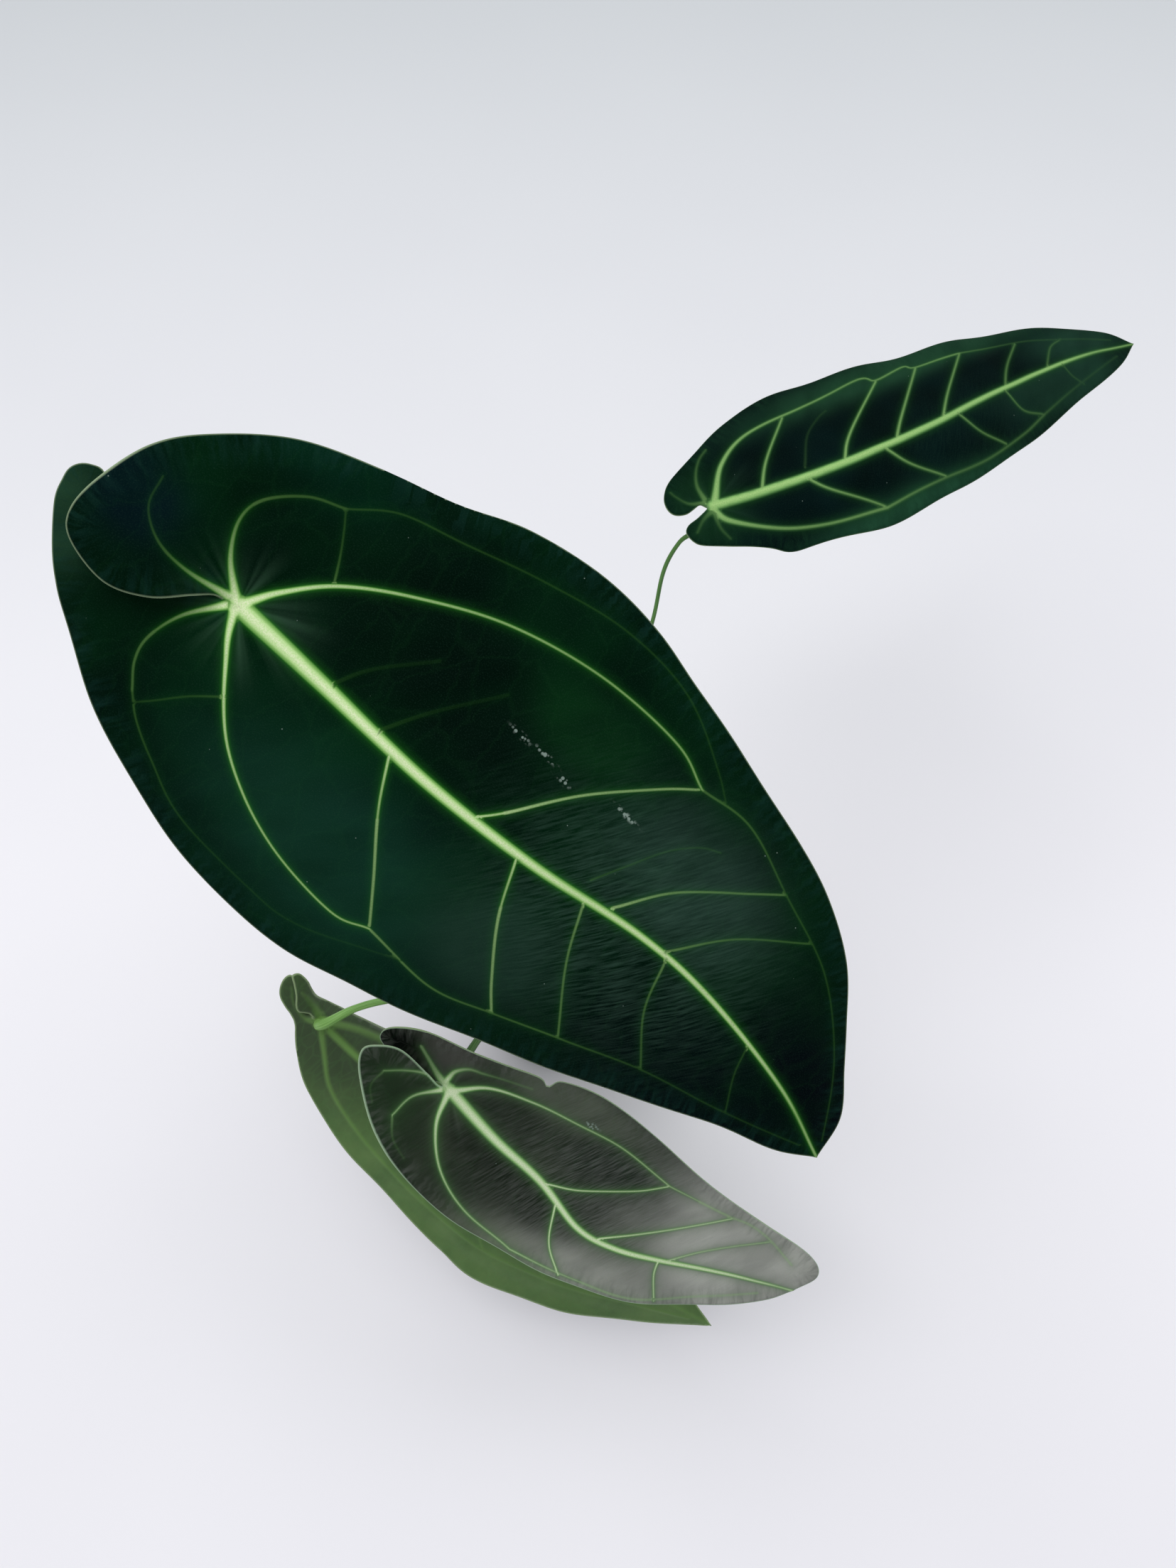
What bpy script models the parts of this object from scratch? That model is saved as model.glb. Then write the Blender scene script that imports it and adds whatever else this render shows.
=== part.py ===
# Queen anthurium in a round nursery pot: four velvet leaves on long petioles.
# Metres, +Z up, origin in the middle of the pot's underside.
import math

import bmesh
import bpy
import numpy as np
from mathutils import Vector, noise

MM = 0.001
GAP = 0.3 * MM

# pot
POT_HEIGHT = 105 * MM
POT_RIM_RADIUS = 58 * MM
POT_FOOT_RADIUS = 44 * MM
POT_WALL = 1.6 * MM
RIM_HEIGHT = 12 * MM
RIM_STEP = 2.2 * MM
POT_EDGE = 0.8 * MM
FOOT_CHAMFER = 1.2 * MM
FLOOR_THICKNESS = 2.5 * MM
DRAIN_RADIUS = 5 * MM
DRAIN_CIRCLE = 27 * MM
DRAIN_COUNT = 6
HOLE_SEGMENTS = 16
TURN_STEPS = 40

# potting mix
MIX_TOP = 95 * MM
MIX_LUMP = 3.0 * MM
MIX_LUMP_SIZE = 13 * MM
MIX_RINGS = 7

# stem
STEM_RADIUS = 10.8 * MM
STEM_STEPS = 24
STEM_FOOT = 62 * MM
STEM_TOP = 116 * MM
STEM_EDGE = 2 * MM
SCAR_COUNT = 4
SCAR_FIRST = 5 * MM
SCAR_PITCH = 11 * MM
SCAR_WIDTH = 4 * MM
SCAR_DEPTH = 1.1 * MM
SOCKET_DEPTH = 9 * MM
SOCKET_CIRCLE = 6.5 * MM
SCALE_FOOT = 100 * MM
SCALE_LENGTH = 30 * MM
SCALE_ROOT_RADIUS = 9.2 * MM
SCALE_LEAN = 5 * MM
SCALE_THICKNESS = 0.9 * MM
SCALE_HALF_ANGLE = 27
SCALE_NARROWING = 0.92
SCALE_BEARINGS = (95, 170, 325)

# petioles
PETIOLE_FOOT_RADIUS = 2.7 * MM
PETIOLE_SIDES_RESOLUTION = 2
PETIOLE_STEPS = 6
COLLAR_HEIGHT = 2 * MM
NECK_DROP = 8.4 * MM
NECK_BACK = 6 * MM

# blades
BLADE_THICKNESS = 0.8 * MM
MIDRIB_THICKNESS = 2.6 * MM
MIDRIB_TIP_SHARE = 0.3
LOBE_RIB_SHARE = 0.45
BOSS_RADIUS = 6 * MM
LOBE_COLUMNS = 12
RIB_COLUMNS = 4
LOBE_EASE = 1.3
SIDE_COLUMNS = 20
ROWS = (0.0, 0.045, 0.22, 0.42, 0.62, 0.82, 1.0)
BOWL = 1.5
QUILT_HEIGHT = 1.6 * MM
QUILT_OUTER_ROW = 0.85
WAVE_HEIGHT = 1.3 * MM
WAVE_LENGTH = 52 * MM
WAVE_START = {"left": 0.0, "right": 1.9}
WELD = 0.02 * MM

# Each leaf: junction of blade and petiole and tip of the blade in world millimetres, and the way
# its velvet face looks. Midrib and margins are (along, aside, raised) millimetres from the
# junction: along the chord to the tip, to the left of the face, and out of the face. A margin
# runs from the foot of the sinus round the lobe, past the shoulder and down to the tip. lobe_tip
# and shoulder are places in that list, and lobe_heart is the far end of the rib in the lobe.
# veins are the shares of the midrib's length at which side veins leave it, and a sweep above 1
# slants them towards the tip. Radii are millimetres, bearings are degrees round the stem, and
# bend lists the places in world millimetres that the petiole passes.
LEAVES = {
    "large": {
        "junction": (-90, 11, 469),
        "tip": (113, -149, 337),
        "face": (0, -0.42, 0.91),
        "midrib": [(0, 0, 0), (36, 1, 8), (84, 2, 16), (129, 7, 21), (173, 15, 20),
                   (209, 16, 16), (256, 10, 8), (290, 0, 0)],
        "left": {
            "margin": [(-5, -2, 0), (-8, -3.5, 1), (-12, -8, 4), (-21, -18, 6), (-34, -24, 8),
                       (-50, -21, 9), (-56, -13, 10), (-56, 2, 11), (-52, 19, 11),
                       (-42, 34, 9), (-23, 53, 5), (3, 66, 2), (28, 76, 1), (51, 87, 2),
                       (78, 94, 3), (106, 94, 6), (130, 90, 8), (158, 85, 8), (194, 78, 7),
                       (219, 71, 7), (240, 60, 6), (259, 44, 3), (272, 31, 2), (285, 17, 1),
                       (290, 0, 0)],
            "lobe_heart": (-30, 5, 8), "lobe_tip": 7, "shoulder": 11, "sweep": 1.45,
            "veins": (0.36, 0.55, 0.64, 0.76, 0.88),
        },
        "right": {
            "margin": [(-5, -2, 0), (-8, -3, -1), (-20, -7, -4), (-37, -8, -5), (-52, -3, -4),
                       (-60, 1, -3), (-64, 0, -3), (-67, -2.5, -3), (-68.5, -6, -3.5),
                       (-68, -10, -4), (-65.5, -17, -5), (-57, -28, -7), (-49, -36, -8),
                       (-39, -44, -10), (-12, -60, -11), (20, -72, -11), (59, -79, -9),
                       (91, -77, -6), (119, -70, -4), (145, -61, -2), (178, -48, 1),
                       (212, -33, 5), (247, -17, 6), (273, -9, 3), (290, 0, 0)],
            "lobe_heart": (-30, -25, -6), "lobe_tip": 10, "shoulder": 14, "sweep": 1.0,
            "veins": (0.24, 0.42, 0.52, 0.64, 0.81),
        },
        "petiole_radius": 2.2,
        "neck_radius": 2.9,
        "socket_bearing": 135,
        "bend": [(-34, 22, 235), (-78, 32, 380)],
    },
    "narrow": {
        "junction": (88, 160, 332),
        "tip": (323, 278, 321),
        "face": (0.22, 0.05, 0.97),
        "midrib": [(0, 0, 0), (24, -5, 5), (60, -10, 11), (112, -11, 16), (160, -6, 15),
                   (219, 0, 8), (263, 0, 0)],
        "left": {
            "margin": [(-3, 0, 0), (-6, 3, 0), (-14, 1, 0), (-20, 3, 0), (-22, 8, 1),
                       (-19.5, 15, 1), (-12.5, 21.5, 2), (5, 30, 2), (29, 42, 1), (53, 47, 1),
                       (88, 47, 2), (129, 42, 4), (173, 37, 5), (218, 27, 4), (249, 13, 2),
                       (263, 0, 0)],
            "lobe_heart": (-13, 9, 1), "lobe_tip": 4, "shoulder": 6, "sweep": 1.3,
            "veins": (0.09, 0.25, 0.37, 0.47, 0.63, 0.75),
        },
        "right": {
            "margin": [(-3, 0, 0), (-10, -3, 0), (-16, -4.5, -1), (-19, -8, -1), (-17.5, -13.5, -2),
                       (-13, -17, -3), (0, -23, -4), (16, -31, -4), (25, -37, -4), (40, -40, -2),
                       (77, -46, 0), (116, -43, 2), (162, -36, 4), (209, -22, 4), (244, -11, 2),
                       (263, 0, 0)],
            "lobe_heart": (-13, -8, -1), "lobe_tip": 3, "shoulder": 5, "sweep": 1.3,
            "veins": (0.18, 0.34, 0.5, 0.63, 0.78),
        },
        "petiole_radius": 1.1,
        "neck_radius": 1.5,
        "socket_bearing": 50,
        "bend": [(19, 41, 160), (60, 134, 262), (73, 156, 308)],
    },
    "cupped": {
        "junction": (-43, -98, 197),
        "tip": (133, -189, 134),
        "face": (0.1, -0.42, 0.91),
        "midrib": [(0, 0, 0), (31, -9, 3), (63, -16, 2), (92, -27, 2), (113, -26, 5),
                   (135, -19, 8), (162, -10, 8), (191, -3, 4), (208, 0, 0)],
        "left": {
            "margin": [(-4, 0, 0), (-7, 0.3, -0.5), (-14, -2, -2), (-33, 0, -3), (-44, 5, 1),
                       (-42, 13, 6), (-26, 21, 10), (-1, 24, 12), (32, 30, 12), (40, 28, 11),
                       (45, 34, 12), (67, 38, 12), (101, 34, 12), (138, 27, 12), (173, 24, 10),
                       (204, 21, 5), (215, 13, 1), (208, 0, 0)],
            "lobe_heart": (-26, 8, 0), "lobe_tip": 5, "shoulder": 6, "sweep": 1.3,
            "veins": (0.32, 0.5, 0.66, 0.82),
        },
        "right": {
            "margin": [(-4, 0, 0), (-7, -0.3, 1.2), (-16, 3, 5), (-32, 7, 9), (-43, 4, 11),
                       (-49, -2, 12), (-43, -14, 12), (-23, -33, 12), (8, -48, 10), (48, -54, 7),
                       (97, -53, 5), (133, -45, 6), (170, -26, 7), (195, -11, 4), (208, 0, 0)],
            "lobe_heart": (-26, -14, 8), "lobe_tip": 6, "shoulder": 7, "sweep": 1.1,
            "veins": (0.37, 0.52, 0.65, 0.77),
        },
        "petiole_radius": 2.0,
        "neck_radius": 2.6,
        "socket_bearing": 275,
        "bend": [(-14, -28, 132), (-33, -68, 172)],
    },
    "turned": {
        "junction": (-122, -53, 153),
        "tip": (97, -205, 60),
        "face": (0, 0.42, -0.91),
        "midrib": [(0, 0, 0), (28, 2, -2), (81, 6, -6), (157, 7, -8), (233, 5, -5), (282, 0, 0)],
        "left": {
            "margin": [(-4, 0, 0), (-7, -0.4, 1), (-10, -1.5, 2), (-13, -3.3, 2), (-18, -7, 1),
                       (-24, -10.5, 0), (-29, -11, 0), (-30.5, -7, 0), (-29, -1.5, 0),
                       (-25.5, 2.5, 0), (-20, 5, 0), (-15, 6.5, 0), (-10, 9.5, 0), (0, 21, 2),
                       (19, 35, 3), (54, 48, 4), (107, 57, 4), (134, 61, 3), (160, 61, 2),
                       (207, 46, 0), (246, 24, 0), (282, 0, 0)],
            "lobe_heart": (-14, 1.2, 0.5), "lobe_tip": 7, "shoulder": 13, "sweep": 1.2,
            "veins": (0.2, 0.36, 0.5, 0.64, 0.8),
        },
        "right": {
            "margin": [(-4, 0, 0), (-7, -0.9, -1), (-10, 0.2, -2.6), (-13, 1.5, -4), (-16, -0.5, -5),
                       (-19.5, -5, -5), (-24, -9, -5), (-28, -12.5, -5), (-25.5, -15.5, -3.5),
                       (-20, -14.5, -2), (-16, -12, 0), (-11, -9.5, 3), (-5, -10, 6),
                       (4, -11, 10), (17, -12, 15), (38, -15, 20), (64, -24, 20),
                       (116, -36, 16), (170, -37, 10), (226, -19, 3), (262, -6, 0),
                       (282, 0, 0)],
            "lobe_heart": (-17, -8, -4), "lobe_tip": 7, "shoulder": 12, "sweep": 1.2,
            "veins": (0.24, 0.4, 0.54, 0.68, 0.82),
        },
        "petiole_radius": 2.0,
        "neck_radius": 2.9,
        "socket_bearing": 205,
        "bend": [(-24, -19, 147), (-62, -40, 168), (-99, -49, 169)],
    },
}


def clear_scene():
    for scene_object in list(bpy.data.objects):
        bpy.data.objects.remove(scene_object, do_unlink=True)


def new_collection(name):
    collection = bpy.data.collections.new(name)
    bpy.context.scene.collection.children.link(collection)
    return collection


def principled(name, colour, roughness, sheen=0.0):
    material = bpy.data.materials.new(name)
    material.use_nodes = True
    shader = material.node_tree.nodes["Principled BSDF"]
    shader.inputs["Base Color"].default_value = (*colour, 1.0)
    shader.inputs["Roughness"].default_value = roughness
    shader.inputs["Metallic"].default_value = 0.0
    shader.inputs["Sheen Weight"].default_value = sheen
    return material


def add_object(name, data, collection, material=None):
    new_object = bpy.data.objects.new(name, data)
    collection.objects.link(new_object)
    if material:
        data.materials.append(material)
    return new_object


def mesh_from(bm, name):
    mesh = bpy.data.meshes.new(name)
    bm.to_mesh(mesh)
    bm.free()
    return mesh


def mark_cutter(cutter):
    cutter.hide_render = True
    cutter.display_type = "WIRE"


def lathe(name, profile, steps, collection, material=None):
    # a profile of (radius, height) at +X, outer side top to bottom, turned round the Z axis
    bm = bmesh.new()
    points = [bm.verts.new((radius, 0, height)) for radius, height in profile]
    for first, second in zip(points, points[1:]):
        bm.edges.new((first, second))
    piece = add_object(name, mesh_from(bm, name), collection, material)
    screw = piece.modifiers.new("turn", "SCREW")
    screw.steps = steps
    screw.render_steps = steps
    screw.use_merge_vertices = True
    screw.merge_threshold = 0.0001
    screw.use_smooth_shade = True
    return piece


def smooth_path(points, shares, begin=0, end=None):
    # places on a Catmull-Rom curve through the points, each at a share of the length between the
    # begin and the end point
    knots = np.array(points, dtype=float)
    padded = np.vstack([2 * knots[0] - knots[1], knots, 2 * knots[-1] - knots[-2]])
    end = len(knots) - 1 if end is None else end
    fine = []
    for index in range(begin, end):
        first, second, third, fourth = padded[index:index + 4]
        for share in np.linspace(0, 1, 12, endpoint=False):
            fine.append(0.5 * (2 * second + (third - first) * share
                               + (2 * first - 5 * second + 4 * third - fourth) * share ** 2
                               + (3 * second - first - 3 * third + fourth) * share ** 3))
    fine = np.array(fine + [knots[end]])
    run = np.concatenate([[0], np.cumsum(np.linalg.norm(np.diff(fine, axis=0), axis=1))])
    wanted = np.asarray(shares) * run[-1]
    return np.column_stack([np.interp(wanted, run, fine[:, axis]) for axis in range(3)])


def leaf_axes(leaf):
    junction = Vector(leaf["junction"]) * MM
    along = Vector(leaf["tip"]) * MM - junction
    along.normalize()
    raised = Vector(leaf["face"])
    raised -= raised.dot(along) * along
    raised.normalize()
    return junction, along, raised.cross(along), raised


def rib_reach(column):
    # how far out on the lobe's rib a column starts
    from_midrib = min(column, 2 * LOBE_COLUMNS - column)
    return max(min(from_midrib / RIB_COLUMNS, 1.0), 0.0)


def column_lines(leaf, side):
    # inner and outer end of each column of the half: out along the lobe's rib, round its heart
    # and back, then down the midrib, while the outer end runs round the margin
    half = leaf[side]
    margin = half["margin"]
    lobe = np.linspace(0, 1, LOBE_COLUMNS + 1)
    down = np.linspace(0, 1, SIDE_COLUMNS + 1)
    sinus = smooth_path(margin, lobe ** LOBE_EASE, end=half["lobe_tip"])
    flank = smooth_path(margin, lobe, half["lobe_tip"], half["shoulder"])
    edge = smooth_path(margin, down ** (1 / half["sweep"]), half["shoulder"])
    rib = np.outer([rib_reach(column) for column in range(LOBE_COLUMNS + 1)], half["lobe_heart"])
    midrib = smooth_path(leaf["midrib"], down)
    inner = np.vstack([rib, rib[-2::-1], midrib[1:]])
    outer = np.vstack([sinus, flank[1:], edge[1:]])
    return inner * MM, outer * MM


def quilting(column, row, veins):
    # the blade swells towards its face between the side veins and sinks along them
    down = max(column - 2 * LOBE_COLUMNS, 0) / SIDE_COLUMNS
    between = abs(math.sin(math.pi * np.interp(down, (0, *veins, 1), range(len(veins) + 2))))
    fade = math.sin(math.pi * min(row / QUILT_OUTER_ROW, 1.0)) * math.sin(math.pi * down)
    return QUILT_HEIGHT * between * fade


def waving(run, whole_run, row, side):
    # gentle waves along the margin that die out inwards and towards both ends
    swing = math.sin(2 * math.pi * run / WAVE_LENGTH + WAVE_START[side])
    return WAVE_HEIGHT * row ** 3 * math.sin(math.pi * run / whole_run) * swing


def ridge_share(row_index, column, last, from_junction):
    # how much of the midrib's thickness the blade has: all at the junction, none between ribs
    boss = max(1 - from_junction / BOSS_RADIUS, 0)
    if column == last:
        return MIDRIB_TIP_SHARE
    if row_index > 0:
        return boss
    if column < 2 * LOBE_COLUMNS:
        return max(LOBE_RIB_SHARE * (1 - rib_reach(column)), boss)
    return 1 - (1 - MIDRIB_TIP_SHARE) * (column - 2 * LOBE_COLUMNS) / SIDE_COLUMNS


def half_blade(bm, leaf, side):
    junction, along, aside, raised = leaf_axes(leaf)
    inner, outer = column_lines(leaf, side)
    last = len(inner) - 1
    runs = np.concatenate([[0], np.cumsum(np.linalg.norm(np.diff(outer, axis=0), axis=1))])
    ridge = bm.verts.layers.deform.verify()
    grid = bmesh.ops.create_grid(bm, x_segments=len(ROWS) - 1, y_segments=last, size=0.5)
    for vert in grid["verts"]:
        row_index = round((vert.co.x + 0.5) * (len(ROWS) - 1))
        column = round((vert.co.y + 0.5) * last)
        row = ROWS[row_index]
        along_by, aside_by, _ = inner[column] * (1 - row) + outer[column] * row
        lift = inner[column][2] + (outer[column][2] - inner[column][2]) * row ** BOWL
        lift += quilting(column, row, leaf[side]["veins"])
        lift += waving(runs[column], runs[-1], row, side)
        from_junction = math.hypot(along_by, aside_by)
        vert[ridge][0] = ridge_share(row_index, column, last, from_junction)
        vert.co = junction + along * along_by + aside * aside_by + raised * lift
    if side == "left":
        faces = {face for vert in grid["verts"] for face in vert.link_faces}
        bmesh.ops.reverse_faces(bm, faces=list(faces))


def blade(name, leaf, collection, material):
    bm = bmesh.new()
    half_blade(bm, leaf, "left")
    half_blade(bm, leaf, "right")
    bmesh.ops.remove_doubles(bm, verts=bm.verts, dist=WELD)
    bmesh.ops.dissolve_degenerate(bm, edges=bm.edges, dist=WELD)
    bmesh.ops.triangulate(bm, faces=bm.faces, quad_method="SHORT_EDGE")
    piece = add_object(name, mesh_from(bm, name), collection, material)
    piece.vertex_groups.new(name="ridge")
    piece.data.shade_smooth()
    thicken = piece.modifiers.new("thickness", "SOLIDIFY")
    thicken.thickness = MIDRIB_THICKNESS
    thicken.offset = -1
    thicken.vertex_group = "ridge"
    thicken.thickness_vertex_group = BLADE_THICKNESS / MIDRIB_THICKNESS
    return piece


def on_circle(radius, bearing, height):
    angle = math.radians(bearing)
    return Vector((radius * math.cos(angle), radius * math.sin(angle), height))


def petiole(name, leaf, collection, material):
    # a round stalk from its socket in the stem to just under the blade's junction
    junction, _, _, raised = leaf_axes(leaf)
    foot = on_circle(SOCKET_CIRCLE, leaf["socket_bearing"], STEM_TOP - SOCKET_DEPTH + GAP)
    collar = foot + Vector((0, 0, SOCKET_DEPTH + COLLAR_HEIGHT))
    under = junction - raised * (MIDRIB_THICKNESS + GAP)
    bends = [Vector(point) * MM for point in leaf["bend"]]
    neck = under - raised * NECK_DROP - (under - bends[-1]).normalized() * NECK_BACK
    stops = [foot, collar] + bends + [neck, under]
    radii = [PETIOLE_FOOT_RADIUS / MM] * 2 + [leaf["petiole_radius"]] * len(bends)
    radii += [leaf["neck_radius"], leaf["neck_radius"] * 0.9]
    curve = bpy.data.curves.new(name, "CURVE")
    curve.dimensions = "3D"
    curve.bevel_depth = MM
    curve.bevel_resolution = PETIOLE_SIDES_RESOLUTION
    curve.use_fill_caps = True
    curve.resolution_u = PETIOLE_STEPS
    spline = curve.splines.new("BEZIER")
    spline.bezier_points.add(len(stops) - 1)
    for point, stop, radius in zip(spline.bezier_points, stops, radii):
        point.co = stop
        point.radius = radius
        point.handle_left_type = "AUTO"
        point.handle_right_type = "AUTO"
    upright = Vector((0, 0, SOCKET_DEPTH / 2))
    for point in spline.bezier_points[:2]:
        point.handle_left_type = "FREE"
        point.handle_right_type = "FREE"
        point.handle_left = point.co - upright
        point.handle_right = point.co + upright
    last = spline.bezier_points[-1]
    last.handle_left_type = "FREE"
    last.handle_left = under - raised * NECK_DROP / 2
    last.handle_right_type = "FREE"
    last.handle_right = under + raised * MM
    return add_object(name, curve, collection, material)


def bore(piece, name, radius, centre, reach, cutters):
    # a round hole that reaches the same way above and below its centre
    bm = bmesh.new()
    bmesh.ops.create_cone(bm, cap_ends=True, segments=HOLE_SEGMENTS, radius1=radius,
                          radius2=radius, depth=2 * reach)
    cutter = add_object(name, mesh_from(bm, name), cutters)
    cutter.location = centre
    mark_cutter(cutter)
    cut = piece.modifiers.new(name, "BOOLEAN")
    cut.operation = "DIFFERENCE"
    cut.object = cutter


def scale_leaves():
    # papery scale leaves that stand round the crown, each one rooted in the stem's side
    group = new_collection("scale_leaves")
    for bearing in SCALE_BEARINGS:
        name = "scale_leaf_%d" % bearing
        bm = bmesh.new()
        bmesh.ops.create_grid(bm, x_segments=4, y_segments=6, size=1)
        for vert in bm.verts:
            up = (vert.co.y + 1) / 2
            turn = vert.co.x * SCALE_HALF_ANGLE * (1 - SCALE_NARROWING * up ** 2)
            radius = SCALE_ROOT_RADIUS + SCALE_LEAN * up ** 1.5
            vert.co = on_circle(radius, bearing + turn, SCALE_FOOT + SCALE_LENGTH * up)
        bmesh.ops.triangulate(bm, faces=bm.faces)
        piece = add_object(name, mesh_from(bm, name), group)
        thicken = piece.modifiers.new("thickness", "SOLIDIFY")
        thicken.thickness = SCALE_THICKNESS
        thicken.offset = 0
    return group


def grow_together(piece, group):
    # one solid of the piece and the objects of the group, which are then removed
    join = piece.modifiers.new(group.name, "BOOLEAN")
    join.operation = "UNION"
    join.operand_type = "COLLECTION"
    join.collection = group
    finished = piece.evaluated_get(bpy.context.evaluated_depsgraph_get())
    whole = bpy.data.meshes.new_from_object(finished)
    piece.modifiers.clear()
    piece.data = whole
    for part in list(group.objects):
        bpy.data.objects.remove(part, do_unlink=True)
    bpy.data.collections.remove(group)


def stem(collection, cutters, material):
    # an upright stem ringed by old leaf scars, with its scale leaves and a socket for each petiole
    profile = [(0, STEM_TOP), (STEM_RADIUS - STEM_EDGE, STEM_TOP),
               (STEM_RADIUS, STEM_TOP - STEM_EDGE)]
    for scar in range(SCAR_COUNT):
        height = STEM_TOP - SCAR_FIRST - SCAR_PITCH * scar
        profile += [(STEM_RADIUS, height), (STEM_RADIUS - SCAR_DEPTH, height - SCAR_WIDTH / 2),
                    (STEM_RADIUS, height - SCAR_WIDTH)]
    profile += [(STEM_RADIUS - STEM_EDGE, STEM_FOOT), (0, STEM_FOOT)]
    piece = lathe("stem", profile, STEM_STEPS, collection, material)
    grow_together(piece, scale_leaves())
    for leaf_name, leaf in LEAVES.items():
        centre = on_circle(SOCKET_CIRCLE, leaf["socket_bearing"], STEM_TOP)
        bore(piece, leaf_name + "_socket", PETIOLE_FOOT_RADIUS + GAP, centre, SOCKET_DEPTH, cutters)
    return piece


def potting_mix(collection, material):
    # fills the pot to just under the rim, with a plain hole for the stem
    hole = STEM_RADIUS + GAP
    foot_height = FLOOR_THICKNESS + GAP
    wall_rise = (MIX_TOP - foot_height) / (POT_HEIGHT - FLOOR_THICKNESS)
    foot_radius = POT_FOOT_RADIUS - POT_WALL - GAP
    top_radius = foot_radius + (POT_RIM_RADIUS - RIM_STEP - POT_FOOT_RADIUS) * wall_rise
    profile = [(0, STEM_FOOT - GAP), (hole, STEM_FOOT - GAP)]
    profile += [(hole + (top_radius - hole) * ring / MIX_RINGS, MIX_TOP)
                for ring in range(MIX_RINGS + 1)]
    profile += [(foot_radius, foot_height), (0, foot_height)]
    bm = bmesh.new()
    verts = [bm.verts.new((radius, 0, height)) for radius, height in profile]
    edges = [bm.edges.new(pair) for pair in zip(verts, verts[1:])]
    bmesh.ops.spin(bm, geom=verts + edges, cent=(0, 0, 0), axis=(0, 0, 1), dvec=(0, 0, 0),
                   angle=2 * math.pi, steps=TURN_STEPS, use_merge=True)
    bmesh.ops.remove_doubles(bm, verts=bm.verts, dist=WELD)
    for vert in bm.verts:
        radius = math.hypot(vert.co.x, vert.co.y)
        if vert.co.z > MIX_TOP - 1 * MM and hole + MM < radius < top_radius - MM:
            vert.co.z += MIX_LUMP * (noise.cell(vert.co / MIX_LUMP_SIZE) - 0.5)
    bmesh.ops.triangulate(bm, faces=bm.faces)
    bmesh.ops.recalc_face_normals(bm, faces=bm.faces)
    return add_object("potting_mix", mesh_from(bm, "potting_mix"), collection, material)


def pot(collection, cutters, material):
    # inside from the middle up to the rim, then outside down to the flat foot
    side_top = POT_HEIGHT - RIM_HEIGHT
    flare = POT_RIM_RADIUS - RIM_STEP - POT_FOOT_RADIUS
    inner_top = POT_RIM_RADIUS - RIM_STEP - POT_WALL
    profile = [(0, FLOOR_THICKNESS), (POT_FOOT_RADIUS - POT_WALL, FLOOR_THICKNESS),
               (inner_top, POT_HEIGHT - POT_EDGE), (inner_top + POT_EDGE, POT_HEIGHT),
               (POT_RIM_RADIUS - POT_EDGE, POT_HEIGHT), (POT_RIM_RADIUS, POT_HEIGHT - POT_EDGE),
               (POT_RIM_RADIUS - POT_EDGE, side_top),
               (POT_FOOT_RADIUS + flare * side_top / POT_HEIGHT, side_top),
               (POT_FOOT_RADIUS, FOOT_CHAMFER), (POT_FOOT_RADIUS - FOOT_CHAMFER, 0), (0, 0)]
    piece = lathe("pot", profile, TURN_STEPS, collection, material)
    for index in range(DRAIN_COUNT):
        centre = on_circle(DRAIN_CIRCLE, 360 * index / DRAIN_COUNT, 0)
        bore(piece, "drain_%d" % (index + 1), DRAIN_RADIUS, centre, 2 * FLOOR_THICKNESS, cutters)
    return piece


def main():
    clear_scene()
    plant = new_collection("queen_anthurium")
    cutters = new_collection("cutters")
    velvet = principled("velvet_leaf", (0.006, 0.026, 0.010), 0.75, 0.3)
    underside = principled("leaf_underside", (0.035, 0.075, 0.025), 0.6)
    green_stalk = principled("petiole_green", (0.13, 0.26, 0.06), 0.5)
    bark_brown = principled("stem_scales", (0.16, 0.09, 0.045), 0.8)
    mix_brown = principled("bark_and_perlite", (0.09, 0.055, 0.035), 0.95)
    plastic = principled("pot_plastic", (0.02, 0.021, 0.022), 0.5)
    pot(plant, cutters, plastic)
    potting_mix(plant, mix_brown)
    stem(plant, cutters, bark_brown)
    for leaf_name, leaf in LEAVES.items():
        petiole(leaf_name + "_petiole", leaf, plant, green_stalk)
        face = underside if leaf_name == "turned" else velvet
        blade(leaf_name + "_blade", leaf, plant, face)


main()
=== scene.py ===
"""Looks of the potted queen anthurium: four velvet leaves with pale veins, their stalks, the
stem, the bark mix and a plain nursery pot. Lengths in the tables are millimetres."""
import math
import random

import bmesh
import bpy
import numpy as np
from mathutils import Matrix, Vector, noise
from mathutils.bvhtree import BVHTree
from mathutils.geometry import delaunay_2d_cdt


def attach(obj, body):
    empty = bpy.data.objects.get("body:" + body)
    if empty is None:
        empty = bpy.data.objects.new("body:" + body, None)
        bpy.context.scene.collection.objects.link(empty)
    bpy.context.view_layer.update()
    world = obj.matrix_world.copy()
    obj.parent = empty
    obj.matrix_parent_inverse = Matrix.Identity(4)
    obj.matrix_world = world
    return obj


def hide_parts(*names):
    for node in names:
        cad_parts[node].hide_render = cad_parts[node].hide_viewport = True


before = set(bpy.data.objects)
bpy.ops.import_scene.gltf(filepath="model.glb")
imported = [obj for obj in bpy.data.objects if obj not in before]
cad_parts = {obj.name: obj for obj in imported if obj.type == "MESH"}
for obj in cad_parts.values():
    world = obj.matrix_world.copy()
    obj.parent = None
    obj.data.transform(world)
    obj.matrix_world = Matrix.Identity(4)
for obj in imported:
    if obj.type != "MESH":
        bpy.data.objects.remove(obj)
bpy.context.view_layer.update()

MM = 0.001

# Camera of the photograph: it looks down at the plant at 65 degrees above the horizon.
CAMERA_PLACE = (0.026537, -0.208901, 0.799503)
CAMERA_TILT = 25
CAMERA_LENS = 27.03
CAMERA_SENSOR = 36

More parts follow.
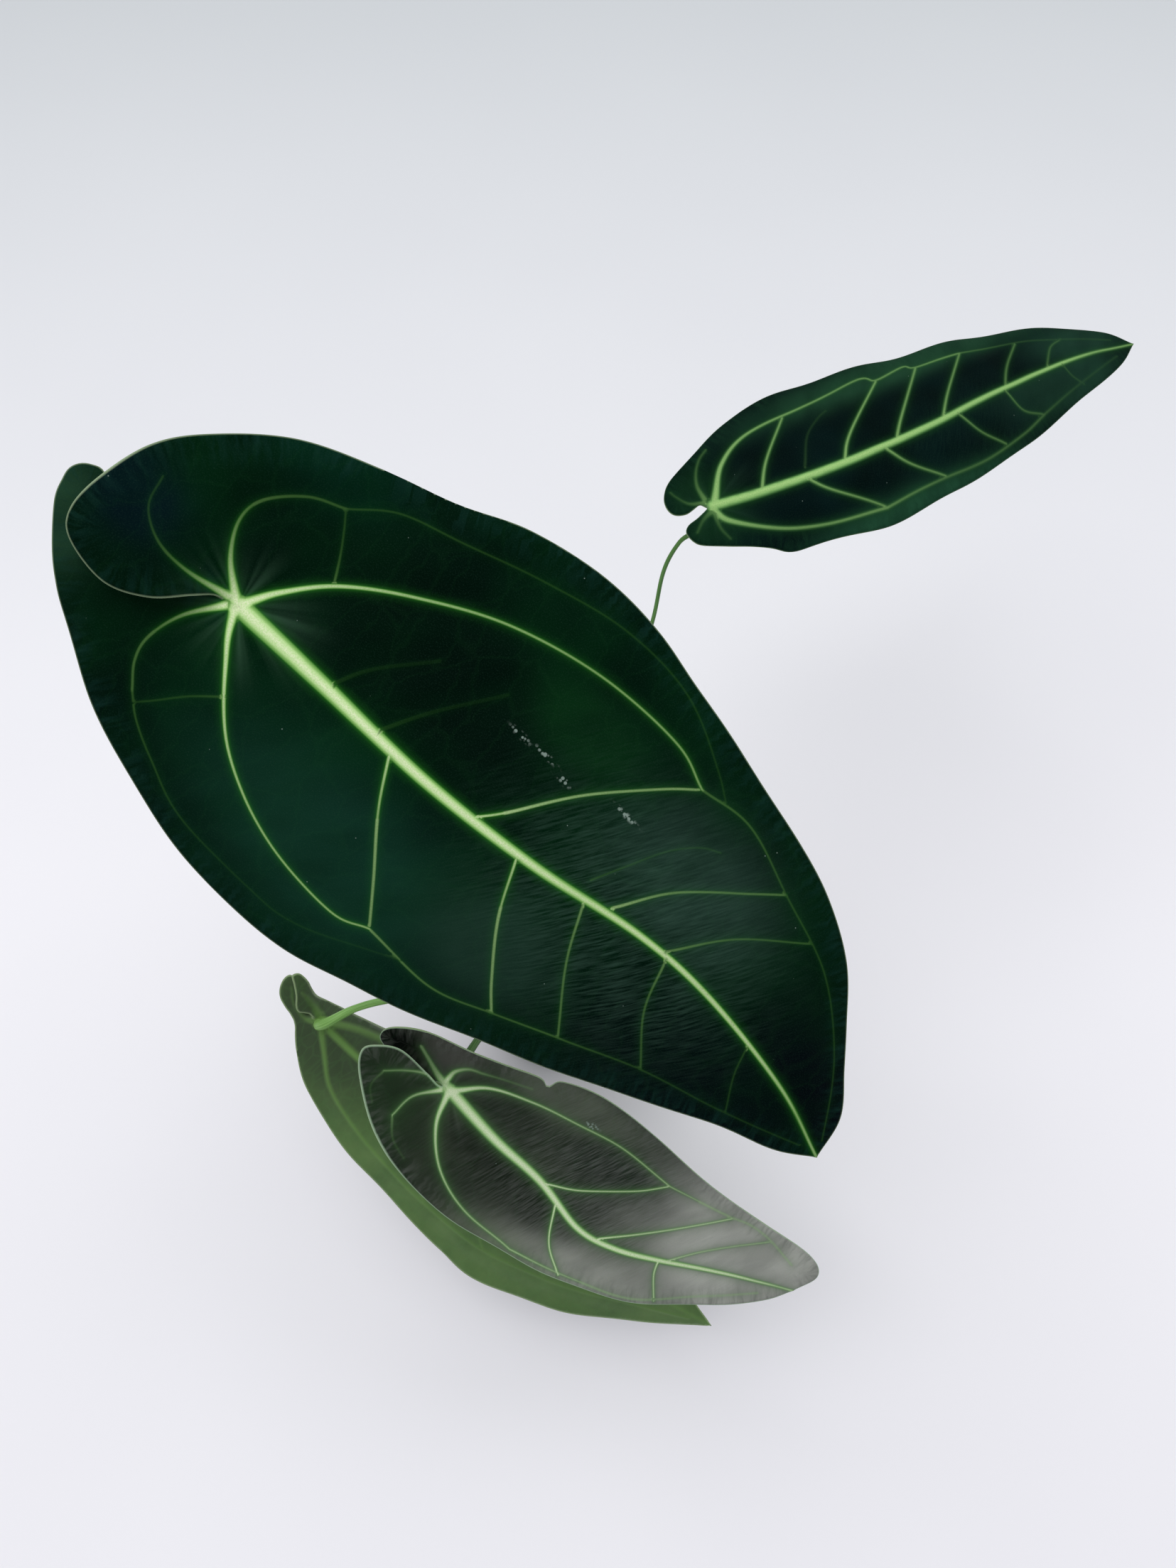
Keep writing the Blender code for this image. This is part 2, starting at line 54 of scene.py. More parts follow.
# The floor, in metres: its half width, and where the painted shade that greys it behind the
# plant begins and ends. Its clouds are millimetres across.
FLOOR_SIZE = 6
FLOOR_FRONT = 0.1
FLOOR_BACK = 1.3
FLOOR_CLOUD = 1000 / 3

# Each lamp's name, place and width in metres, and its power in watts.
LAMPS = (("overhead", (-0.5, 0.3, 2.2), 1.8, 22), ("window", (1.6, 0.9, 1.3), 1.4, 6))
LAMP_AIM = (0, -0.05, 0.25)
ROOM_LIGHT = 0.66

# Form of every blade, as in the solids.
RIB_SHARE = 0.33
LOBE_EASE = 1.3
BOWL = 1.5
WAVE_HEIGHT = 1.3
WAVE_LENGTH = 52
WAVE_START = {"left": 0.0, "right": 1.9}
BLADE_THICKNESS = 0.8
RIDGE_THICKNESS = 2.6

# Fineness of the blades: how finely their form is read, and how close places on them may lie.
LOBE_COLUMNS = 90
SIDE_COLUMNS = 200
FORM_ROWS = 24
PATH_STEPS = 12
FOOT_POINTS = 6
MIDRIB_SAMPLES = 400
VEIN_STEP = 1.0
GLOW_ROW = 1.1
CELL = 1.5
CLOSEST = 0.32
VEIN_GAP = 0.7
EDGE_GAP = 0.5
FIELD_GAP = 0.72 * CELL
NO_GAP = 1e-7
NO_AREA = 1e-6
BATCH = 2000

# Relief of the blades: the field between the veins swells, the veins stand a little proud, and
# creases fan out from the boss where they meet. Under a wide vein the sheet is at its thickest.
QUILT_HEIGHT = 1.7
QUILT_SPREAD = 9
QUILT_MARGIN = 9
PUCKER_HEIGHT = 0.35
PUCKER_SIZE = 16
PUCKER_LAYER = 3
VEIN_RISE = 0.28
VEIN_SINK = 0.5
MIDRIB_RISE = 0.9
MIDRIB_END = 0.25
BOSS_RADIUS = 3.6
BOSS_RISE = 1.0
FLARE_WIDTH = 1.3
FLARE_REACH = 9
CREASE_HEIGHT = 0.4
CREASE_REACH = 13
CREASE_COUNT = 9
CREASE_START = 5
RIDGE_VEIN = 2.2
RIDGE_FILL = 0.8

# Pot, as in the solids, with two stacking rings and a step at its foot that only show here.
POT_HEIGHT = 105
POT_RIM_RADIUS = 58
POT_FOOT_RADIUS = 44
POT_WALL = 1.6
RIM_HEIGHT = 12
RIM_STEP = 2.2
FLOOR_THICKNESS = 2.5
DRAIN_RADIUS = 5
DRAIN_CIRCLE = 27
DRAIN_COUNT = 6
DRAIN_SIDES = 32
RING_HEIGHTS = (82, 79)
RING_PROUD = 0.5
FOOT_STEP = 7
POT_STEPS = 144
SHARP_ANGLE = 35

# Bark mix, of which only the top is loose. Its lumps have a height, a size and a layer of noise.
# Chips lie on it: how many, their smallest and largest size, their shape and their material.
MIX_TOP = 95
MIX_RADIUS = 52.6
MIX_FOOT = 5
MIX_FOOT_RADIUS = 43
MIX_RINGS = 40
MIX_STEPS = 120
MIX_LOOSE = 1
MIX_LUMPS = ((1.6, 13, 0), (0.7, 4, 9))
CHIPS = ((420, 3.2, 7.5, (1, 0.62, 0.36), 1), (240, 1.0, 2.1, (1, 0.85, 0.75), 2),
         (500, 0.9, 2.2, (1, 0.6, 0.45), 1))
CHIP_SEED = 11
CHIP_CORNERS = 13
CHIP_TILT = 0.35
CHIP_RAISE = 0.35

# Stem with the scars of old leaves. Its lumps have a share of its radius and a size.
STEM_RADIUS = 10.8
STEM_FOOT = 90
STEM_TOP = 116
STEM_STEPS = 72
STEM_RING = 0.5
STEM_SHOULDER = 1.5
STEM_LUMPS = ((0.035, 5), (0.02, 1.5))
SCAR_FIRST = 5
SCAR_PITCH = 11
SCAR_WIDTH = 4
SCAR_DEPTH = 1.1

# Scale leaves round the stem, thin and dry.
SCALE_BEARINGS = (95, 170, 325)
SCALE_FOOT = 100
SCALE_LENGTH = 30
SCALE_HALF_WIDTH = 5
SCALE_THICKNESS = 0.5
SCALE_ROOT_RADIUS = 9.2
SCALE_SPRING = 1.7
SCALE_LEAN = 5
SCALE_HALF_ANGLE = 27
SCALE_NARROWING = 0.92
SCALE_RIBS = 14
SCALE_RIB = 0.25
SCALE_CURL = 0.9
SCALE_RIPPLE = 0.5
SCALE_RIPPLES = (3, 2)
SCALE_ROWS = 31
SCALE_COLUMNS = 19

# Leaf stalks: sockets in the stem, the neck under the blade, and their ribs, groove and waver.
SOCKET_DEPTH = 9
SOCKET_CIRCLE = 6.5
PETIOLE_FOOT_RADIUS = 2.7
COLLAR_HEIGHT = 2
NECK_DROP = 8.4
NECK_BACK = 6
NECK_TAPER = 0.9
GAP = 0.3
RIB_COUNT = 5
RIB_HEIGHT = 0.03
GROOVE_DEPTH = 0.05
GROOVE_SHARPNESS = 8
WAVER = 0.04
WAVER_LENGTH = 18
STALK_STEPS = 24
STALK_SIDES = 20

# Leaf axes and lists are those of the solids: x runs down the midrib, y to the leaf's left and z
# out of its face, from the junction where the stalk meets the blade.
LEAVES = {
    "large": {
        "junction": (-90, 11, 469),
        "tip": (113, -149, 337),
        "face": (0, -0.42, 0.91),
        "midrib": [(0, 0, 0), (36, 1, 8), (84, 2, 16), (129, 7, 21), (173, 15, 20),
                   (209, 16, 16), (256, 10, 8), (290, 0, 0)],
        "left": {
            "margin": [(-5, -2, 0), (-8, -3.5, 1), (-12, -8, 4), (-21, -18, 6), (-34, -24, 8),
                       (-50, -21, 9), (-56, -13, 10), (-56, 2, 11), (-52, 19, 11),
                       (-42, 34, 9), (-23, 53, 5), (3, 66, 2), (28, 76, 1), (51, 87, 2),
                       (78, 94, 3), (106, 94, 6), (130, 90, 8), (158, 85, 8), (194, 78, 7),
                       (219, 71, 7), (240, 60, 6), (259, 44, 3), (272, 31, 2), (285, 17, 1),
                       (290, 0, 0)],
            "lobe_heart": (-30, 5, 8), "lobe_tip": 7, "shoulder": 11, "sweep": 1.45,
        },
        "right": {
            "margin": [(-5, -2, 0), (-8, -3, -1), (-20, -7, -4), (-37, -8, -5), (-52, -3, -4),
                       (-60, 1, -3), (-64, 0, -3), (-67, -2.5, -3), (-68.5, -6, -3.5),
                       (-68, -10, -4), (-65.5, -17, -5), (-57, -28, -7), (-49, -36, -8),
                       (-39, -44, -10), (-12, -60, -11), (20, -72, -11), (59, -79, -9),
                       (91, -77, -6), (119, -70, -4), (145, -61, -2), (178, -48, 1),
                       (212, -33, 5), (247, -17, 6), (273, -9, 3), (290, 0, 0)],
            "lobe_heart": (-30, -25, -6), "lobe_tip": 10, "shoulder": 14, "sweep": 1.0,
        },
        "petiole_radius": 2.2,
        "neck_radius": 2.9,
        "socket_bearing": 135,
        "bend": [(-34, 22, 235), (-78, 32, 380)],
    },
    "narrow": {
        "junction": (88, 160, 332),
        "tip": (323, 278, 321),
        "face": (0.22, 0.05, 0.97),
        "midrib": [(0, 0, 0), (24, -5, 5), (60, -10, 11), (112, -11, 16), (160, -6, 15),
                   (219, 0, 8), (263, 0, 0)],
        "left": {
            "margin": [(-3, 0, 0), (-6, 3, 0), (-14, 1, 0), (-20, 3, 0), (-22, 8, 1),
                       (-19.5, 15, 1), (-12.5, 21.5, 2), (5, 30, 2), (29, 42, 1), (53, 47, 1),
                       (88, 47, 2), (129, 42, 4), (173, 37, 5), (218, 27, 4), (249, 13, 2),
                       (263, 0, 0)],
            "lobe_heart": (-13, 9, 1), "lobe_tip": 4, "shoulder": 6, "sweep": 1.3,
        },
        "right": {
            "margin": [(-3, 0, 0), (-10, -3, 0), (-16, -4.5, -1), (-19, -8, -1), (-17.5, -13.5, -2),
                       (-13, -17, -3), (0, -23, -4), (16, -31, -4), (25, -37, -4), (40, -40, -2),
                       (77, -46, 0), (116, -43, 2), (162, -36, 4), (209, -22, 4), (244, -11, 2),
                       (263, 0, 0)],
            "lobe_heart": (-13, -8, -1), "lobe_tip": 3, "shoulder": 5, "sweep": 1.3,
        },
        "petiole_radius": 1.1,
        "neck_radius": 1.5,
        "socket_bearing": 50,
        "bend": [(19, 41, 160), (60, 134, 262), (73, 156, 308)],
    },
    "cupped": {
        "junction": (-43, -98, 197),
        "tip": (133, -189, 134),
        "face": (0.1, -0.42, 0.91),
        "midrib": [(0, 0, 0), (31, -9, 3), (63, -16, 2), (92, -27, 2), (113, -26, 5),
                   (135, -19, 8), (162, -10, 8), (191, -3, 4), (208, 0, 0)],
        "left": {
            "margin": [(-4, 0, 0), (-7, 0.3, -0.5), (-14, -2, -2), (-33, 0, -3), (-44, 5, 1),
                       (-42, 13, 6), (-26, 21, 10), (-1, 24, 12), (32, 30, 12), (40, 28, 11),
                       (45, 34, 12), (67, 38, 12), (101, 34, 12), (138, 27, 12), (173, 24, 10),
                       (204, 21, 5), (215, 13, 1), (208, 0, 0)],
            "lobe_heart": (-26, 8, 0), "lobe_tip": 5, "shoulder": 6, "sweep": 1.3,
        },
        "right": {
            "margin": [(-4, 0, 0), (-7, -0.3, 1.2), (-16, 3, 5), (-32, 7, 9), (-43, 4, 11),
                       (-49, -2, 12), (-43, -14, 12), (-23, -33, 12), (8, -48, 10), (48, -54, 7),
                       (97, -53, 5), (133, -45, 6), (170, -26, 7), (195, -11, 4), (208, 0, 0)],
            "lobe_heart": (-26, -14, 8), "lobe_tip": 6, "shoulder": 7, "sweep": 1.1,
        },
        "petiole_radius": 2.0,
        "neck_radius": 2.6,
        "socket_bearing": 275,
        "bend": [(-14, -28, 132), (-33, -68, 172)],
    },
    "turned": {
        "junction": (-122, -53, 153),
        "tip": (97, -205, 60),
        "face": (0, 0.42, -0.91),
        "midrib": [(0, 0, 0), (28, 2, -2), (81, 6, -6), (157, 7, -8), (233, 5, -5), (282, 0, 0)],
        "left": {
            "margin": [(-4, 0, 0), (-7, -0.4, 1), (-10, -1.5, 2), (-13, -3.3, 2), (-18, -7, 1),
                       (-24, -10.5, 0), (-29, -11, 0), (-30.5, -7, 0), (-29, -1.5, 0),
                       (-25.5, 2.5, 0), (-20, 5, 0), (-15, 6.5, 0), (-10, 9.5, 0), (0, 21, 2),
                       (19, 35, 3), (54, 48, 4), (107, 57, 4), (134, 61, 3), (160, 61, 2),
                       (207, 46, 0), (246, 24, 0), (282, 0, 0)],
            "lobe_heart": (-14, 1.2, 0.5), "lobe_tip": 7, "shoulder": 13, "sweep": 1.2,
        },
        "right": {
            "margin": [(-4, 0, 0), (-7, -0.9, -1), (-10, 0.2, -2.6), (-13, 1.5, -4),
                       (-16, -0.5, -5), (-19.5, -5, -5), (-24, -9, -5), (-28, -12.5, -5),
                       (-25.5, -15.5, -3.5), (-20, -14.5, -2), (-16, -12, 0), (-11, -9.5, 3),
                       (-5, -10, 6),
                       (4, -11, 10), (17, -12, 15), (38, -15, 20), (64, -24, 20),
                       (116, -36, 16), (170, -37, 10), (226, -19, 3), (262, -6, 0),
                       (282, 0, 0)],
            "lobe_heart": (-17, -8, -4), "lobe_tip": 7, "shoulder": 12, "sweep": 1.2,
        },
        "petiole_radius": 2.0,
        "neck_radius": 2.9,
        "socket_bearing": 205,
        "bend": [(-24, -19, 147), (-62, -40, 168), (-99, -49, 169)],
    },
}

# Each vein: the places it passes, its width where it starts and ends, and how pale it is at both.
# The midrib has widths and paleness at even shares of its length.
VEINS = {
    "large": {
        "midrib": ((7.0, 4.9, 3.9, 2.8, 2.0, 1.3), (1.0, 1.0, 0.95, 0.9, 0.8, 0.6)),
        "left": [
            ([(1, 2), (7, 13), (19, 28), (39, 43), (68, 59), (103, 69), (137, 71), (155, 66)],
             2.0, 1.0, 1.0, 0.5),
            ([(155, 66), (177, 69), (204, 61), (236, 51), (263, 33), (286, 6)],
             0.8, 0.6, 0.25, 0.1),
            ([(-2, 1), (-12, 10), (-18, 21), (-17, 31), (-8, 42), (3, 48)], 1.9, 0.8, 1.0, 0.2),
            ([(17, 28), (12, 36), (7, 43), (3, 48)], 0.8, 0.6, 0.25, 0.12),
            ([(3, 48), (17, 60), (39, 68), (66, 78), (97, 86), (127, 86), (154, 75), (166, 68)],
             0.6, 0.6, 0.14, 0.08),
            ([(-4, 0), (-19, -3), (-31, -2), (-40, 4), (-43, 14)], 1.9, 0.6, 0.9, 0.1),
            ([(104, 5), (111, 14), (125, 35), (144, 56), (155, 66)], 1.1, 0.8, 0.8, 0.5),
            ([(159, 15), (172, 34), (193, 52), (204, 61)], 1.0, 0.7, 0.6, 0.3),
            ([(184, 17), (200, 37), (224, 55)], 0.9, 0.6, 0.4, 0.2),
            ([(147, 17), (153, 29), (160, 42), (168, 51), (175, 55)], 0.6, 0.6, 0.15, 0.08),
            ([(62, 4), (70, 20), (84, 42)], 1.4, 1.2, 0.08, 0.03),
            ([(40, 3), (46, 16), (60, 34)], 1.4, 1.2, 0.07, 0.03),
        ],
        "right": [
            ([(0, -2), (8, -14), (30, -37), (61, -51), (93, -54), (107, -49)],
             1.9, 1.0, 1.0, 0.6),
            ([(107, -49), (136, -50), (159, -42), (182, -32)], 0.9, 0.7, 0.45, 0.22),
            ([(182, -32), (212, -20), (246, -11), (280, -1)], 0.7, 0.6, 0.2, 0.08),
            ([(-3, -3), (-11, -16), (-14, -29), (-12, -38), (-6, -46)], 1.8, 0.8, 1.0, 0.25),
            ([(-6, -46), (2, -53), (15, -60), (34, -67), (68, -69), (89, -66), (123, -50)],
             0.7, 0.6, 0.18, 0.05),
            ([(69, 1), (80, -16), (95, -34), (107, -49)], 1.3, 0.9, 0.8, 0.5),
            ([(123, 6), (134, -14), (149, -32), (159, -42)], 1.2, 0.9, 0.75, 0.5),
            ([(150, 11), (162, -9), (182, -32)], 0.9, 0.7, 0.45, 0.3),
            ([(186, 16), (195, -3), (212, -20)], 0.9, 0.7, 0.4, 0.2),
            ([(233, 13), (238, 2), (247, -10)], 0.7, 0.6, 0.15, 0.1),
            ([(18, -25), (9, -34), (2, -43), (-3, -49)], 0.7, 0.6, 0.17, 0.1),
        ],
    },
    "narrow": {
        "midrib": ((5.6, 5.0, 4.3, 3.5, 2.7, 1.6), (1.0, 1.0, 0.95, 0.9, 0.85, 0.6)),
        "left": [
            ([(2, 2), (15, 19), (35, 30), (66, 32), (104, 35), (112, 30), (131, 33), (136, 29),
              (162, 27)], 2.8, 1.7, 0.9, 0.5),
            ([(162, 27), (194, 22), (217, 16), (250, 6)], 1.4, 1.2, 0.35, 0.1),
            ([(24, -5), (35, 10), (57, 31)], 2.0, 1.6, 0.75, 0.6),
            ([(67, -10), (79, 4), (111, 29)], 2.0, 1.6, 0.75, 0.6),
            ([(96, -11), (107, 1), (136, 29)], 2.0, 1.6, 0.7, 0.55),
            ([(124, -10), (137, 4), (162, 27)], 1.9, 1.5, 0.65, 0.5),
            ([(166, -6), (177, 7), (194, 21)], 1.7, 1.4, 0.45, 0.35),
            ([(197, -2), (210, 11), (221, 15)], 1.5, 1.2, 0.35, 0.25),
            ([(-2, 5), (-2, 13), (1, 20), (6, 26), (12, 30)], 1.8, 1.2, 0.5, 0.25),
            ([(-3, 3), (-11, 6), (-15, 12), (-16, 15)], 1.6, 1.0, 0.5, 0.2),
            ([(49, -3), (60, 13), (71, 21), (78, 24)], 1.0, 0.8, 0.15, 0.1),
        ],
        "right": [
            ([(-1, -2), (4, -11), (24, -25), (48, -34), (78, -38)], 2.6, 1.8, 0.85, 0.55),
            ([(78, -38), (114, -36), (142, -35), (165, -30), (182, -24)], 1.7, 1.4, 0.5, 0.3),
            ([(182, -24), (214, -14), (246, -5)], 1.3, 1.1, 0.25, 0.1),
            ([(45, -8), (55, -20), (78, -38)], 2.0, 1.5, 0.75, 0.55),
            ([(88, -12), (97, -24), (114, -36)], 2.0, 1.5, 0.7, 0.5),
            ([(132, -9), (140, -22), (152, -32)], 1.8, 1.4, 0.55, 0.4),
            ([(165, -6), (170, -19), (182, -24)], 1.6, 1.3, 0.45, 0.3),
            ([(-1, -2), (-8, -5), (-14, -10)], 1.5, 1.0, 0.5, 0.2),
            ([(-1, -3), (-2, -12), (0, -19)], 1.5, 1.0, 0.5, 0.2),
            ([(208, -1), (210, -9), (215, -15)], 1.3, 1.1, 0.25, 0.15),
        ],
    },
    "cupped": {
        "midrib": ((6.6, 5.0, 3.8, 3.0, 2.2, 1.3), (1.0, 1.0, 1.0, 0.95, 0.9, 0.7)),
        "left": [
            ([(2, 1), (16, 12), (38, 17), (64, 19), (90, 20), (120, 16)], 2.3, 1.2, 1.0, 0.6),
            ([(120, 16), (151, 18), (166, 20), (180, 18), (198, 12)], 1.1, 0.9, 0.6, 0.4),
            ([(-4, 4), (-3, 10), (2, 15), (9, 17), (20, 20), (34, 23)], 2.0, 0.9, 0.9, 0.2),
            ([(-3, 1), (-10, 4), (-17, 8), (-24, 12)], 3.6, 1.8, 0.8, 0.4),
            ([(66, -16), (83, -10), (106, 4), (120, 16)], 1.4, 1.1, 0.9, 0.75),
            ([(104, -26), (124, -10), (146, 9), (156, 18)], 1.4, 1.1, 0.9, 0.7),
            ([(138, -18), (151, -5), (166, 7), (180, 17)], 1.2, 1.0, 0.7, 0.5),
        ],
        "right": [
            ([(0, -2), (3, -18), (16, -35), (37, -46), (67, -52)], 2.3, 1.2, 1.0, 0.6),
            ([(67, -52), (107, -49), (135, -42), (164, -24), (190, -9)], 1.2, 0.9, 0.65, 0.35),
            ([(-4, -2), (-15, -11), (-19, -23)], 1.9, 1.1, 0.95, 0.55),
            ([(-19, -23), (-13, -32), (-3, -38)], 1.0, 0.6, 0.4, 0.1),
            ([(-5, 0), (-15, 2), (-25, -1), (-34, -6)], 1.9, 1.0, 0.95, 0.4),
            ([(-34, -6), (-36, -15), (-31, -22)], 0.9, 0.6, 0.3, 0.1),
            ([(76, -22), (83, -40), (95, -51)], 1.5, 1.2, 0.95, 0.8),
            ([(135, -20), (137, -27), (144, -38)], 1.4, 1.1, 0.85, 0.7),
        ],
    },
    "turned": {
        "midrib": ((3.4, 2.6, 2.4, 2.2, 1.8, 1.2), (0.75, 0.65, 0.6, 0.5, 0.4, 0.3)),
        "left": [
            ([(2, 1), (13, 12), (27, 25), (47, 33), (76, 40), (112, 44), (150, 44), (196, 33),
              (240, 15), (268, 4)], 2.2, 1.3, 0.6, 0.25),
            ([(-2, 1), (-8, 3), (-18, 0), (-24, -6)], 1.8, 1.0, 0.5, 0.2),
            ([(60, 5), (80, 22), (108, 43)], 2.0, 1.4, 0.4, 0.3),
            ([(104, 7), (124, 22), (150, 43)], 2.0, 1.4, 0.4, 0.3),
            ([(148, 7), (166, 20), (188, 35)], 1.8, 1.2, 0.4, 0.25),
            ([(190, 6), (206, 16), (224, 22)], 1.6, 1.0, 0.3, 0.2),
        ],
        "right": [
            ([(3, -2), (18, -7), (44, -12), (80, -22), (118, -28), (168, -28), (214, -16),
              (256, -4)], 2.2, 1.2, 0.6, 0.25),
            ([(-3, -3), (-10, -6), (-18, -8)], 1.8, 1.0, 0.5, 0.2),
            ([(76, 5), (94, -10), (116, -28)], 2.0, 1.4, 0.4, 0.3),
            ([(132, 7), (148, -8), (170, -27)], 1.8, 1.2, 0.4, 0.25),
            ([(186, 6), (200, -6), (216, -15)], 1.6, 1.0, 0.3, 0.2),
        ],
    },
}

# How the velvet of each leaf looks. A spot of painted sheen and shade is the centre and reach
# of an oval spot in leaf millimetres, its tone, its strength and the half that has it: the
# lighter, greyer spots are painted sheen and the near-black ones painted shade. The painted
# sheen streaks are the spot where the streaks show, their tone and strength. Glow is the green
# light beside the veins: its tone, its strength and how far it spreads in millimetres. Soft is
# how far the edge of a vein fades, in millimetres, and veins are the tones of their edge, their
# inside and their crest. Crease sheen is the tone and strength of the painted highlight on the
# creases that spread from the stalk, and pleat sheen the tone of the painted sheen on the
# pleats by the margin. Rim is the tone and strength of the pale line along the margin, partly
# a painted highlight, and the spot where it is broadest, and dust the spots with a crust of
# dust.
LOOKS = {
    "large": {
        "name": "dark velvet leaf", "deep": "#001108", "fresh": "#02210d", "pleat_sheen": "#12302a",
        # painted sheen: the lighter grey-green spots, where the velvet catches the light; painted
        # shade: the near-black spots, chiefly towards the tip, which droops away from the light
        "painted_sheen_and_shade": [((80, -40), (120, 62), "#13372a", 0.62, "right"),
                   ((-10, 58), (52, 32), "#04281a", 0.6, "left"),
                   ((66, 34), (110, 60), "#000c06", 0.9, "left"),
                   ((112, 52), (46, 30), "#0a3314", 0.5, "left"),
                   ((178, 40), (72, 50), "#1d3229", 0.9, "left"),
                   ((140, -24), (52, 42), "#1b3328", 0.75, "right"),
                   ((232, -16), (120, 70), "#010a0b", 1.0, "right"),
                   ((264, 14), (84, 60), "#01060a", 1.0, "left"),
                   ((-45, 4), (38, 30), "#03121a", 0.8, "left"),
                   ((-62, -20), (36, 40), "#22402c", 0.8, "right")],
        "painted_sheen_streaks": ((170, 14), (110, 84), "#30493d", 0.8),
        "net": 0.02, "glow": ("#23661a", 0.55, 0.75), "soft": 0.3,
        "veins": ("#3f7a2c", "#9fcc78", "#d9e4ba"), "crease_sheen": ("#3a5a44", 0.5),
        "rim": ("#a9bf98", 0.35, ((-34, 2), (52, 44), "left")),
        "dust": [((96, 35.4), (8, 2.0)), ((107, 36.4), (9, 1.8)), ((117, 34.6), (7, 2.4)),
                 ((141, 41), (10, 1.8))],
        "sheen": 0.004,
    },
    "narrow": {
        "name": "soft velvet leaf", "deep": "#010a0a", "fresh": "#031414", "pleat_sheen": "#12301f",
        "painted_sheen_and_shade": [((130, 34), (190, 26), "#1c3d29", 0.9, "left"),
                   ((110, -46), (190, 24), "#1f4630", 0.9, "right"),
                   ((205, -10), (90, 40), "#1a382a", 0.8, "right"),
                   ((230, 10), (70, 30), "#1a382a", 0.8, "left"),
                   ((-6, 0), (44, 50), "#0c2a16", 0.8, "both")],
        "painted_sheen_streaks": ((140, -20), (120, 50), "#10281f", 0.4),
        "net": 0.0, "glow": ("#20501f", 0.5, 1.2), "soft": 0.8,
        "veins": ("#44703c", "#7cab62", "#a3c87e"), "crease_sheen": ("#2c4a3a", 0.2),
        "rim": ("#5f7f5a", 0.4, ((0, 0), (10, 10), "left")),
        "dust": [],
        "sheen": 0.004,
    },
    "cupped": {
        # its grey is painted sheen of velvet seen against the light, with a little dust; the
        # near-black spot by the left lobe is a painted shadow under the lobe that lies over it, and
        # the dark spots beside the veins near the stalk are painted shade
        "name": "velvet leaf with painted grey sheen", "deep": "#1c241b", "fresh": "#2f372b", "pleat_sheen": "#5b5f59",
        "painted_sheen_and_shade": [((176, 2), (120, 90), "#a6a8a0", 1.0, "both"),
                   ((112, -50), (110, 44), "#8d9087", 1.0, "right"),
                   ((62, -62), (80, 32), "#66705c", 0.9, "right"),
                   ((56, 27), (90, 26), "#555d4f", 0.9, "left"),
                   ((92, 8), (60, 26), "#1b241b", 0.9, "left"),
                   ((46, -14), (80, 26), "#10160f", 0.9, "right"),
                   ((-30, -20), (56, 48), "#21321f", 0.8, "right"),
                   ((70, -28), (66, 26), "#161d15", 0.8, "right"),
                   ((-10, 17), (36, 20), "#4a4a45", 0.8, "left"),
                   ((-36, 7), (42, 22), "#010302", 1.0, "left")],
        "painted_sheen_streaks": ((120, -10), (190, 100), "#8d908c", 0.35),
        "net": 0.03, "glow": ("#44693c", 0.7, 1.6), "soft": 0.7,
        "veins": ("#5f8f50", "#a3cb87", "#dfebc8"), "crease_sheen": ("#5c655a", 0.3),
        "rim": ("#a7c3a2", 0.6, ((-20, -10), (90, 90), "right")),
        "dust": [((70, 22), (8, 3))],
        "sheen": 0.03,
    },
}
# the turned leaf's face, which lies underneath, is dark velvet too
LOOKS["turned"] = {**LOOKS["large"], "name": "dark velvet leaf turned down"}

# Tones of each leaf's stalk: its shaded streaks, its lit ones, and where it swells at its top.
# Each stalk gets its own tones as painted light and shade: the turned leaf's stalk is painted
# lightest and the cupped leaf's darkest.
STALK_TONES = {"large": ("#3f6a2c", "#6f9a4e", "#9cbf74"),
               "narrow": ("#3a662c", "#5f8c46", "#86ab66"),
               "cupped": ("#2c4f1e", "#4a7434", "#4f7a38"),
               "turned": ("#5f8d42", "#8ab866", "#7fae58")}

# Values that every vertex of a blade carries for the velvet, besides its place on the leaf.
VALUES = ("vein_edge", "vein_depth", "vein_pale", "vein_glow", "margin_gap", "margin_run",
          "left_half")

# A leaf's places have no height, so a pattern on them may have any size in that direction.
FLAT = 1000

# Sockets of a Mix node, which are numbered because its colours and numbers share their names.
MIX_FACTOR = 0
UNDER_NUMBER, OVER_NUMBER = 2, 3
UNDER_COLOUR, OVER_COLOUR, MIXED_COLOUR = 6, 7, 2

# Number that asks the triangulation for the triangles inside the outline alone.
ONLY_INSIDE = 1


def linear(hex_colour):
    """The linear colour of an sRGB hex value."""
    values = [int(hex_colour[start:start + 2], 16) / 255 for start in (1, 3, 5)]
    values = [v / 12.92 if v <= 0.04045 else ((v + 0.055) / 1.055) ** 2.4 for v in values]
    return (*values, 1.0)


def fill_sockets(tree, node, sockets):
    """Links a node's sockets to others or sets their values. Colours come as hex values."""
    for name, value in sockets.items():
        if isinstance(value, bpy.types.NodeSocket):
            tree.links.new(value, node.inputs[name])
        else:
            node.inputs[name].default_value = linear(value) if isinstance(value, str) else value


def add_node(tree, kind, sockets, output=0, **settings):
    """Adds a shader node with its settings and links, and gives back one of its outputs."""
    node = tree.nodes.new("ShaderNode" + kind)
    for name, value in settings.items():
        setattr(node, name, value)
    fill_sockets(tree, node, sockets)
    return node.outputs[output]


def new_material(name):
    material = bpy.data.materials.new(name)
    material.use_nodes = True
    return material, material.node_tree


